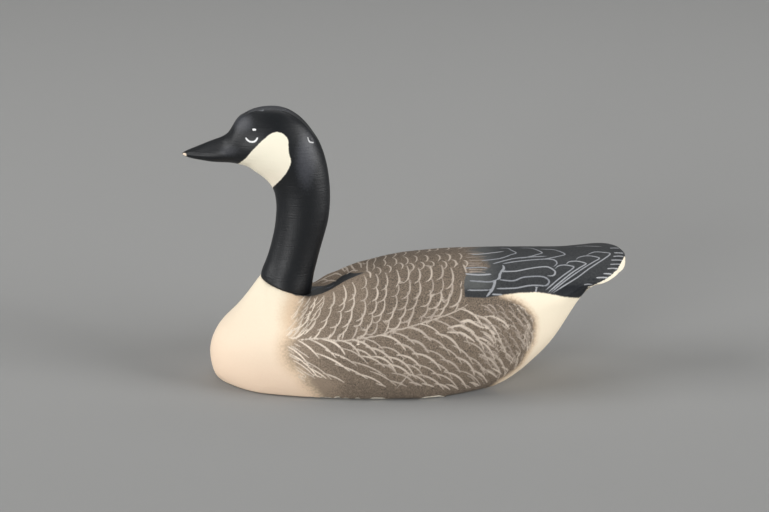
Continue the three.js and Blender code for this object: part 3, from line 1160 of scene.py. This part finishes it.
    def rump_marks(self, draw: np.random.Generator) -> list[BrushMark]:
        """Close strokes in rows where the flank turns into the pale rump.

        Args:
            draw: source of the hand's unevenness.

        Returns:
            The marks.
        """
        made = []
        for row, x, y in self.rump_grid.places(draw):
            edge, along_edge = float(read_off(self.rump_edge, y)), float(read_off(self.rump_turn, y))
            ahead = edge - x
            most = self.rump_reach - self.rump_taper * abs(row - self.rump_widest_row)
            if not max(self.rump_gap, self.rump_rise * (y - self.rump_level)) < ahead < most:
                continue
            course = float(read_off(((4, along_edge), (16, 50), (44, 34)), ahead))
            bends = np.array(self.rump_arc) * draw.uniform(0.8, 1.25)
            path = swept_path((x, y), draw.uniform(11.0, 17.0), course + bends)
            kept = int(np.argmin(np.append(self.on_flank(path), False)))
            if kept > self.rump_shortest:
                width, tone = draw.uniform(0.8, 1.8), draw.uniform(0.08, 0.32)
                made.append(BrushMark(path[:kept], width, tone))
        for _ in range(self.rump_hairs):
            y = draw.uniform(*self.rump_hair_rows)
            start = (float(read_off(self.rump_edge, y)) + draw.uniform(-9.0, 1.0), y)
            made.append(self.rump_hair.stroke(draw, start, float(read_off(self.rump_turn, y))))
        thick = (
            (2.9, ((460.7, 321.8), (469.4, 320.8), (480.2, 326.7))),
            (2.2, ((447.7, 327.8), (460.7, 325.6), (470.5, 330), (474.8, 333.2))),
            (2.3, ((447.7, 332.1), (460.7, 333), (469.4, 337.6), (474.8, 341.9))),
            (1.8, ((475.9, 314.8), (486.7, 319.7), (495.4, 330), (501.9, 343))),
            (2.1, ((484.6, 316.4), (494.3, 317), (504.1, 322.4), (509.5, 328.9))),
            (2.9, ((480.2, 326.7), (488.9, 328.9), (495.4, 334.3))),
            (2.0, ((483.5, 333.2), (490, 337.6), (494.3, 344))),
            (2.0, ((477, 336.6), (486.7, 340.8), (492.1, 346))),
        )
        return made + [mark for width, line in thick for mark in drawn([line], width, 0.52)]

    @staticmethod
    def wing_line(line: Array, width: float, tone: float) -> BrushMark:
        """Bluish grey line of even width, as the wings and tail have."""
        return BrushMark(line, width, tone, Press.EVEN, Pigment.GREY)

    def covert_marks(self, draw: np.random.Generator) -> list[BrushMark]:
        """Pale outlines of the wing's coverts and of the flight feathers' first rows.

        Args:
            draw: source of the hand's unevenness.

        Returns:
            The marks.
        """
        lines = (
            (1.6, 0.4, ((471, 254.6), (480, 253.8), (504, 251.5))),
            (1.6, 0.24, ((481, 260.5), (500, 258.5), (510, 255))),
            (1.6, 0.24, ((492, 264), (517, 258.3), (547, 256.5))),
            (1.6, 0.24, (
                (502.5, 263.5), (519, 261.2), (540, 259.2), (550, 258.8), (555, 260.4), (556.6, 263.6),
                (553, 267))),
            (2.5, 0.28, (
                (502.5, 264.5), (504, 268), (501.5, 271), (500, 274.5), (499, 278), (495, 281), (494.5, 283),
                (492, 290), (489, 293.5), (486, 297))),
            (1.6, 0.24, ((465, 268), (480, 267), (488, 268))),
            (2.0, 0.28, ((465, 274), (478, 274.5), (492, 274))),
            (1.6, 0.2, ((469, 280.5), (488, 282), (497, 280))),
            (1.5, 0.2, ((467, 290), (480, 290.5), (489, 290))),
            (1.7, 0.24, (
                (500, 271.5), (516, 271), (530, 268), (545, 266.6), (552, 268.4), (555.4, 272), (553, 275.2),
                (547, 276))),
            (1.7, 0.22, (
                (499, 280), (513, 280.5), (524, 277.5), (539, 276.2), (546, 278), (549, 281.6), (547, 285),
                (541, 286.3))),
            (1.6, 0.2, ((496, 288.5), (515, 288), (530, 285.5), (545, 285.5))),
            (1.5, 0.26, ((536.5, 286.5), (536, 292))),
            (1.6, 0.26, ((492, 294.5), (503, 294.5))),
        )
        made = []
        for width, tone, knots in lines:
            shaken = np.asarray(knots, float) + draw.uniform(-0.3, 0.4, (len(knots), 2))
            made.append(self.wing_line(smooth_path(shaken), width, tone + draw.uniform(-0.04, 0.04)))
        for tip, length in (((516, 253), 17.0), ((542, 253), 22.0), ((565, 254.3), 25.0)):
            x, y = tip
            knots = (
                (x - length, y - 5.0), (x - 0.5 * length, y - 4.6), (x - 5, y - 2.8), tip,
                (x - 5, y + 1.7), (x - 0.6 * length, y + 3.8), (x - length, y + 5.4),
            )
            made.append(self.wing_line(smooth_path(knots), 1.5, 0.24 + draw.uniform(-0.04, 0.04)))
        return made

    def primary_marks(self, draw: np.random.Generator) -> list[BrushMark]:
        """Four long flight feathers that lie slanting, each with a rounded tip.

        Args:
            draw: source of the hand's unevenness.

        Returns:
            The marks.
        """
        feathers = (
            (
                (555, 268.9), (558.5, 265.9), (564.2, 265), (569.5, 265.6), (573.8, 267), (570.6, 270.2),
                (565.5, 273.8), (559.1, 278.6), (552.5, 284.2), (545.4, 290.3)),
            (
                (566.1, 264.8), (568.7, 262), (575.7, 261.1), (581, 261.8), (585.9, 263.6), (583, 265.8),
                (578.3, 268.6), (570.6, 273.8), (559.1, 283), (547.7, 292.8)),
            (
                (575.7, 259.7), (579.5, 257), (585.9, 255.7), (592.9, 256), (599.3, 258), (594, 261.6),
                (584.6, 267.4), (571.9, 275.9), (562.3, 283.1), (550.5, 292.8)),
            (
                (585.9, 255.5), (591, 252.8), (596.1, 251.6), (603.8, 252.2), (610.2, 253.6), (604.6, 258.4),
                (588.5, 269.1), (578.3, 276.9), (565.5, 284.8), (553.1, 292.8)),
        )
        return [
            self.wing_line(smooth_path(knots), 1.35, 0.27 + draw.uniform(-0.04, 0.04)) for knots in feathers
        ]

    def tail_marks(self, draw: np.random.Generator) -> list[BrushMark]:
        """Short level strokes across the tail feathers.

        Args:
            draw: source of the hand's unevenness.

        Returns:
            The marks.
        """
        rows = (
            (248.0, 610, 619), (253.0, 614, 623), (256.3, 613, 623.5), (260.3, 611, 623), (264.5, 610, 622),
            (268.8, 607, 618), (274.0, 603, 611), (277.8, 596, 608), (284.5, 584, 592),
        )
        made = []
        for y, start, end in rows:
            knots = ((start, y + draw.uniform(-0.3, 0.3)), (0.5 * (start + end), y - 0.3), (end, y))
            made.append(self.wing_line(smooth_path(knots), 1.4, 0.32 + draw.uniform(-0.06, 0.06)))
        # A thin pale line along the tail's top edge: painted sheen where the far side catches the light.
        edge = ((575, 246.4), (588, 246.0), (601, 246.4))
        made.append(self.wing_line(smooth_path(edge), 0.8, 0.4))
        return made


@dataclass
class HeadAndNeck(CarvedBlock):
    """The neck and head: black, with a cream cheek patch that runs under the throat."""

    node: str = "head_and_neck"
    piece: str = "carved_head_and_neck"
    slot: str = "painted_head"
    seed: int = 29
    levels: int = 3
    flat_level: float = 44.0
    edge_crease: float = 1.0
    foot_drop: float = 0.5

    cheek_area: Line = (
        (232, 167), (238, 164), (245, 159), (252, 151), (262, 141), (270, 134.5), (277, 132), (284, 134.5),
        (288, 140), (288.5, 147), (289, 154), (291, 160.5), (289, 168), (284, 176), (278.5, 182),
        (274, 186), (268, 192), (250, 185),
    )

    cheek_step: float = 1.6
    crown_ridge: Pairs = (
        (243, 116), (246, 113), (257, 111), (273, 110), (287, 111), (298, 116), (307, 122.5), (314, 130),
    )
    scuff_reach: Span = (0.6, -1.2)
    scuff_ends: Pairs = ((244.0, 252.0), (312.0, 284.0))
    scuff_dust: float = 0.26
    dust_and_sheen: float = -0.03
    # Painted highlights: a sheen on the brow, down the nape and at the bill's base.
    painted_sheen_spots: tuple[Spot, ...] = (
        Spot(0.34, (243.0, 123.0), (15.0, 15.0), 2.0 / 15.0), Spot(0.36, (306.0, 160.0), (15.0, 40.0)),
        Spot(0.2, (229.0, 151.0), (15.0, 9.0)),
    )
    bill_tip: Pairs = ((184.4, 154.8), (2.6, 2.0))
    tip_share: float = 0.85
    warm_levels: Span = (95.0, 80.0)
    crown_scuffs: int = 26
    seat_slope: float = math.tan(math.radians(20.0))
    seat_slack: float = 0.05
    facet_half: float = 3.3
    facet_start: Span = (98.0, 103.0)
    facet_lean: Span = (0.35, 0.6)
    facet_front: Span = (-66.0, -62.0)
    crown_round: float = 10.0
    dents: tuple[tuple[float, float, float, float], ...] = (
        (246, 112.5, 0.9, 0.5), (311.5, 139.5, 0.8, 0.35),
    )

    def is_flat(self, places: Array) -> Array:
        """See the base class. It is the neck's foot, which slopes up from its lowest corner."""
        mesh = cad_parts[self.node].data
        corner = min(mesh.vertices, key=lambda v: v.co.z).co
        slope = corner.z - (places[:, 0] - corner.x) * self.seat_slope
        return np.abs(places[:, 2] - slope) < self.seat_slack * MM

    def fields(self, places: Array, seen: Array) -> dict[str, Array]:
        """See the base class."""
        z = places[:, 2] / MM
        outline = smooth_path((*self.cheek_area, self.cheek_area[0]), self.cheek_step)[:-1]
        across, down = seen.T
        above = down - read_off(self.crown_ridge, across)
        scuffed = self.scuff_dust * eased(above, *self.scuff_reach)
        for start, end in self.scuff_ends:
            scuffed *= eased(across, start, end)
        return {
            "cheek": depth_inside(seen, outline) / EYE.pixels_per_mm,
            "worn": self.tip_share - oval(seen, *self.bill_tip),
            "warm": eased(z, *self.warm_levels),
            # Crown scuffs, with the painted highlights of the sheen spots.
            "dust_and_sheen": sum((spot.over(seen) for spot in self.painted_sheen_spots), self.dust_and_sheen + scuffed),
        }

    def marks(self, draw: np.random.Generator) -> list[BrushMark]:
        """See the base class. They are the eye, the pale arc below it and the crown's scuffs."""
        eye = ((252.2, 129.8), (253.7, 129.6), (255.3, 129.8))
        arc = ((245.4, 137.4), (248, 140.6), (251.8, 142), (255.4, 141), (257.6, 137.6))
        scuffs = []
        for _ in range(self.crown_scuffs):
            x = draw.uniform(247.0, 304.0)
            y = float(read_off(self.crown_ridge, x)) - draw.uniform(0.4, 3.4)
            path = swept_path((x, y), draw.uniform(1.2, 4.0), (draw.uniform(-14.0, 14.0),) * 2)
            width, tone = draw.uniform(0.5, 1.0), draw.uniform(0.0, 0.3)
            scuffs.append(BrushMark(path, width, tone, Press.EVEN, Pigment.GREY))
        grey = Press.EVEN, Pigment.GREY
        return scuffs + drawn([eye], 1.95, 1.0, *grey) + drawn([arc], 1.75, 1.0, *grey)

    def scrapes(self) -> list[BrushMark]:
        """See the base class. The nape has one nick."""
        nick = ((307.7, 137), (308.6, 140.2), (310, 142), (314, 142.6))
        return drawn([nick], 1.4, 0.7, Press.EVEN, Pigment.GREY)

    def carve(self, places: Array, directions: Array, values: dict[str, Array]) -> Array:
        """See the base class. The crown is cut flat, and the foot is drawn down on to the body."""
        moved = super().carve(places, directions, values)
        x, y, z = (places / MM).T
        crown = eased(z, *self.facet_start) * eased(x, *self.facet_front)
        crown *= eased(directions[:, 2], *self.facet_lean)
        sagitta = np.clip(self.facet_half**2 - y**2, 0.0, None) / (2.0 * self.crown_round)
        moved -= (crown * sagitta * MM)[:, None] * directions
        near = EYE.project(np.column_stack([places[:, 0], -np.abs(places[:, 1]), places[:, 2]]))
        for across, down, radius, depth in self.dents:
            gap = np.linalg.norm(near - (across, down), axis=1) / EYE.pixels_per_mm
            moved -= (eased(gap, radius, 0.0) * depth * MM)[:, None] * directions
        foot = self.is_flat(places)
        moved[foot] = places[foot]
        moved[foot, 2] -= self.foot_drop * MM
        return moved


# Finishes


def linear(code: str) -> tuple[float, float, float, float]:
    """Linear colour of an sRGB hex code."""
    parts = [int(code[i:i + 2], 16) / 255.0 for i in (0, 2, 4)]
    return (*(p / 12.92 if p <= 0.04045 else ((p + 0.055) / 1.055) ** 2.4 for p in parts), 1.0)


def add_node(
    tree: Tree, kind: str, settings: Optional[dict] = None, inputs: Optional[dict] = None,
) -> bpy.types.Node:
    """Adds a node, sets its properties, and fills or links its inputs.

    Args:
        tree: the node tree that it joins.
        kind: its type name.
        settings: properties by name.
        inputs: values, or sockets to link from, by input name or number.

    Returns:
        The new node.
    """
    node = tree.nodes.new(kind)
    for name, value in (settings or {}).items():
        setattr(node, name, value)
    for name, value in (inputs or {}).items():
        if isinstance(value, Socket):
            tree.links.new(value, node.inputs[name])
        else:
            node.inputs[name].default_value = value
    return node


@dataclass(frozen=True)
class PaintArea:
    """One coat of paint: the field that bounds it, its shades, its clouding and its edge.

    The coats are written in the order of these values, sizes and edges in millimetres.
    """

    bounds: str
    shades: tuple[str, str]
    shade_field: str
    clouding: float
    cloud_mm: float
    ragged_mm: float
    ragged_size_mm: float
    soft_mm: float
    roughness: float


@dataclass(frozen=True)
class MatteOilPaint:
    """Matte artist's oil, brushed on a sealed pine block: dull, dense and faintly uneven.

    The brush leaves ridges under a tenth of a millimetre high, and the wood's grain shows
    through as long low furrows along the bird.
    """

    name: str
    ground_shades: tuple[str, str]
    ground_field: str
    areas: tuple[PaintArea, ...]
    ground_roughness: float = 0.62
    ground_clouding: float = 0.4
    ground_cloud_mm: float = 0.8
    oil_ior: float = 1.5
    oil_specular: float = 0.42
    grain_mm: float = 0.9
    grain_stretch: float = 0.07
    grain_depth_mm: float = 0.05
    brush_mm: float = 0.7
    brush_depth_mm: float = 0.03
    mark_depth_mm: float = 0.05

    def material(self) -> bpy.types.Material:
        """Builds the node tree.

        Returns:
            The material.
        """
        paint = bpy.data.materials.new(self.name)
        paint.use_nodes = True
        tree = paint.node_tree
        tree.nodes.clear()
        place = add_node(tree, "ShaderNodeTexCoord").outputs["Object"]
        clouds = self.ground_clouding, self.ground_cloud_mm
        colour = self.shade(tree, place, self.ground_shades, self.ground_field, *clouds)
        rough = self.ground_roughness
        masks = {}
        for area in self.areas:
            mask = self.mask(tree, place, area)
            masks[area.bounds] = mask
            coat = self.shade(tree, place, area.shades, area.shade_field, area.clouding, area.cloud_mm)
            mix = add_node(tree, "ShaderNodeMix", {"data_type": "RGBA"}, {0: mask, 6: colour, 7: coat})
            colour = mix.outputs[2]
            dulling = {0: mask, 2: rough, 3: area.roughness}
            rough = add_node(tree, "ShaderNodeMix", {"data_type": "FLOAT"}, dulling).outputs[0]
        height = self.relief(tree, place, masks["grey_mark"])
        surface = add_node(tree, "ShaderNodeBsdfPrincipled", None, {
            "Base Color": colour, "Roughness": rough, "IOR": self.oil_ior, "Normal": height,
            "Specular IOR Level": self.oil_specular,
        })
        add_node(tree, "ShaderNodeOutputMaterial", None, {"Surface": surface.outputs[0]})
        return paint

    def shade(
        self, tree: Tree, place: Socket, shades: tuple[str, str], level: str, clouding: float,
        cloud_mm: float,
    ) -> Socket:
        """Colour that runs between two shades by a field and by brushed clouding.

        Args:
            tree: the node tree.
            place: the Object coordinates.
            shades: the two shades.
            level: the field that leads from one to the other.
            clouding: how far the clouding moves the shade.
            cloud_mm: how wide a cloud is.

        Returns:
            The colour's socket.
        """
        share = add_node(tree, "ShaderNodeAttribute", {"attribute_name": level}).outputs["Fac"]
        cloud = add_node(tree, "ShaderNodeTexNoise", None, {
            "Vector": place, "Scale": 1.0 / (cloud_mm * MM), "Detail": 6.0, "Roughness": 0.72,
        })
        swing = add_node(tree, "ShaderNodeMath", {"operation": "MULTIPLY_ADD"}, {
            0: cloud.outputs["Fac"], 1: clouding, 2: -0.5 * clouding,
        })
        clouded = add_node(tree, "ShaderNodeMath", {"operation": "ADD", "use_clamp": True}, {
            0: share, 1: swing.outputs[0],
        })
        mix = add_node(tree, "ShaderNodeMix", {"data_type": "RGBA"}, {
            0: clouded.outputs[0], 6: linear(shades[0]), 7: linear(shades[1]),
        })
        return mix.outputs[2]

    def mask(self, tree: Tree, place: Socket, area: PaintArea) -> Socket:
        """Where an area's paint lies, from 0 to 1, with its ragged or brushed-out edge.

        Args:
            tree: the node tree.
            place: the Object coordinates.
            area: the area.

        Returns:
            The mask's socket.
        """
        depth = add_node(tree, "ShaderNodeAttribute", {"attribute_name": area.bounds}).outputs["Fac"]
        wander = add_node(tree, "ShaderNodeTexNoise", None, {
            "Vector": place, "Scale": 1.0 / (area.ragged_size_mm * MM), "Detail": 5.0, "Roughness": 0.66,
        })
        swing = add_node(tree, "ShaderNodeMath", {"operation": "MULTIPLY_ADD"}, {
            0: wander.outputs["Fac"], 1: 2.0 * area.ragged_mm, 2: -area.ragged_mm,
        })
        edge = add_node(tree, "ShaderNodeMath", {"operation": "ADD"}, {0: depth, 1: swing.outputs[0]})
        step = add_node(tree, "ShaderNodeMapRange", {"interpolation_type": "SMOOTHSTEP"}, {
            "Value": edge.outputs[0], "From Min": -area.soft_mm, "From Max": area.soft_mm,
        })
        return step.outputs[0]

    def relief(self, tree: Tree, place: Socket, marks: Socket) -> Socket:
        """Normal bent by the wood's grain, the brush's ridges and the marks' own thickness.

        Args:
            tree: the node tree.
            place: the Object coordinates.
            marks: where the marks lie.

        Returns:
            The normal's socket.
        """
        along = add_node(tree, "ShaderNodeMapping", None, {
            "Vector": place, "Scale": (self.grain_stretch, 3.0 * self.grain_stretch, 1.0),
        })
        grain = add_node(tree, "ShaderNodeTexNoise", None, {
            "Vector": along.outputs[0], "Scale": 1.0 / (self.grain_mm * MM), "Detail": 3.0,
        })
        brush = add_node(tree, "ShaderNodeTexNoise", None, {
            "Vector": place, "Scale": 1.0 / (self.brush_mm * MM), "Detail": 4.0,
        })
        normal = None
        for height, depth_mm in (
            (grain.outputs["Fac"], self.grain_depth_mm), (brush.outputs["Fac"], self.brush_depth_mm),
            (marks, self.mark_depth_mm),
        ):
            inputs = {"Height": height, "Strength": 1.0, "Distance": depth_mm * MM}
            if normal is not None:
                inputs["Normal"] = normal
            normal = add_node(tree, "ShaderNodeBump", None, inputs).outputs[0]
        return normal


CREAM_MARKS = PaintArea("cream_mark", ("8F8277", "FDEEDC"), "cream_tone", 0.5, 0.45, 0.34, 0.38, 0.22, 0.6)
GREY_MARKS = PaintArea("grey_mark", ("545A65", "FFFFFF"), "grey_tone", 0.35, 0.5, 0.22, 0.35, 0.15, 0.6)

BODY_PAINT = MatteOilPaint(
    name="matte_oil_on_pine_body",
    ground_shades=("FDF1D8", "F6DCC2"),
    ground_field="warm",
    areas=(
        PaintArea("wash", ("D2B594", "E6CCAE"), "lift", 0.8, 0.8, 1.2, 1.0, 2.0, 0.7),
        PaintArea("brown", ("4A4138", "988775"), "lift", 3.4, 0.5, 1.4, 1.0, 1.3, 0.72),
        # Black, lighter with dusting and with the painted sheen in the groove.
        PaintArea("black", ("11151C", "6F716F"), "dust_and_sheen", 0.6, 0.7, 0.4, 1.2, 0.35, 0.56),
        CREAM_MARKS,
        GREY_MARKS,
        PaintArea("worn", ("FFF6E0", "FFF6E4"), "warm", 0.4, 0.6, 0.5, 0.9, 0.12, 0.7),
        PaintArea("bare", ("B89468", "D0AE80"), "warm", 0.8, 2.5, 0.1, 1.0, 0.4, 0.7),
    ),
)

HEAD_PAINT = MatteOilPaint(
    name="matte_oil_on_pine_head",
    ground_shades=("0E1115", "6A6C74"),
    # The black shows lighter with dusting, crown scuffs and the painted highlights.
    ground_field="dust_and_sheen",
    ground_roughness=0.45,
    areas=(
        PaintArea("cheek", ("FFF8E2", "FFF4DF"), "warm", 0.5, 0.9, 0.3, 1.2, 0.22, 0.62),
        GREY_MARKS,
        PaintArea("worn", ("F6E2CA", "FFF4E6"), "warm", 0.4, 0.6, 0.25, 0.8, 0.2, 0.7),
    ),
    grain_mm=0.42,
    grain_stretch=0.024,
    grain_depth_mm=0.115,
)


# Studio


@dataclass
class Studio:
    """A pale grey sweep, soft lights and the camera at the photograph's angle."""

    floor_half: float = 1.6
    back_distance: float = 1.1
    back_height: float = 1.6
    edge_slack: float = 0.01
    sweep_radius: float = 0.5
    floor_grey: str = "949493"
    air_strength: float = 0.38
    drop: float = 0.25 * MM
    sensor_mm: float = 36.0
    frame_width: int = 769

    def sweep(self) -> bpy.types.Object:
        """Floor that turns up into a backdrop in one round bend.

        Returns:
            The floor's object.
        """
        deselect_all()
        middle = (0.0, self.back_distance - self.floor_half, -self.drop)
        bpy.ops.mesh.primitive_plane_add(size=2 * self.floor_half, location=middle)
        floor = bpy.context.object
        floor.name = "studio_sweep"
        bpy.ops.object.transform_apply(location=True)
        bpy.ops.object.mode_set(mode="EDIT")
        bm = bmesh.from_edit_mesh(floor.data)
        rear = self.back_distance - self.edge_slack
        for edge in bm.edges:
            edge.select = all(v.co.y > rear for v in edge.verts)
        bmesh.update_edit_mesh(floor.data)
        bpy.ops.mesh.extrude_region_move(TRANSFORM_OT_translate={"value": (0.0, 0.0, self.back_height)})
        for edge in bm.edges:
            edge.select = all(v.co.y > rear and v.co.z < self.edge_slack for v in edge.verts)
        bmesh.update_edit_mesh(floor.data)
        bpy.ops.mesh.bevel(offset=self.sweep_radius, segments=16, profile=0.5)
        bpy.ops.object.mode_set(mode="OBJECT")
        bpy.ops.object.shade_smooth()
        grey = bpy.data.materials.new("plain_grey_paper")
        grey.use_nodes = True
        surface = grey.node_tree.nodes["Principled BSDF"]
        surface.inputs["Base Color"].default_value = linear(self.floor_grey)
        surface.inputs["Roughness"].default_value = 0.7
        surface.inputs["Specular IOR Level"].default_value = 0.2
        floor.data.materials.append(grey)
        floor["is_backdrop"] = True
        return floor

    def light(self, name: str, place: Row, width: float, height: float, power: float) -> None:
        """Adds one soft box that faces the bird, with its sizes in metres.

        Args:
            name: the lamp's name.
            place: where it stands.
            width: how wide it is.
            height: how high it is.
            power: its power in watts.
        """
        lamp = bpy.data.lights.new(name, "AREA")
        lamp.shape = "RECTANGLE"
        lamp.size = width
        lamp.size_y = height
        lamp.energy = power
        holder = bpy.data.objects.new(name, lamp)
        holder.location = place
        aim = Vector((0.0, 0.0, 0.04)) - Vector(place)
        holder.rotation_euler = aim.to_track_quat("-Z", "Y").to_euler()
        bpy.context.scene.collection.objects.link(holder)

    def camera(self) -> None:
        """Camera at the photograph's viewpoint."""
        lens = bpy.data.cameras.new("camera")
        lens.sensor_width = self.sensor_mm
        lens.lens = EYE.focal / self.frame_width * self.sensor_mm
        holder = bpy.data.objects.new("camera", lens)
        holder.location = Vector(EYE.place() * MM)
        ahead = Vector(EYE.axes()[2])
        holder.rotation_euler = ahead.to_track_quat("-Z", "Y").to_euler()
        bpy.context.scene.collection.objects.link(holder)
        bpy.context.scene.camera = holder

    def build(self) -> None:
        """Sets the whole studio up."""
        self.sweep()
        self.light("left_light", (-1.25, -0.35, 0.75), 0.9, 0.9, 12.6)
        self.light("front_light", (-0.8, -1.5, 0.2), 0.6, 0.5, 13.0)
        self.light("right_light", (1.25, -0.5, 0.42), 0.7, 0.8, 16.0)
        self.light("top_light", (0.1, 0.35, 1.5), 1.3, 1.3, 8.0)
        world = bpy.data.worlds.new("studio_air")
        world.use_nodes = True
        air = world.node_tree.nodes["Background"].inputs
        air["Color"].default_value = (1.0, 1.0, 1.0, 1.0)
        air["Strength"].default_value = self.air_strength
        bpy.context.scene.world = world
        bpy.context.scene.view_settings.view_transform = "Standard"
        self.camera()


def main() -> None:
    """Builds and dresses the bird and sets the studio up."""
    logging.basicConfig(level=logging.INFO)
    for block, paint in ((Body(), BODY_PAINT), (HeadAndNeck(), HEAD_PAINT)):
        piece = block.build()
        piece.data.materials.append(paint.material())
        LOG.info("%s: %d points, %d faces", piece.name, len(piece.data.vertices), len(piece.data.polygons))
    Studio().build()
    boxes = {"cad": CAD_BOX, "visual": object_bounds()}
    {name: [list(corner) for corner in box] for name, box in boxes.items()}


if __name__ == "__main__":
    main()
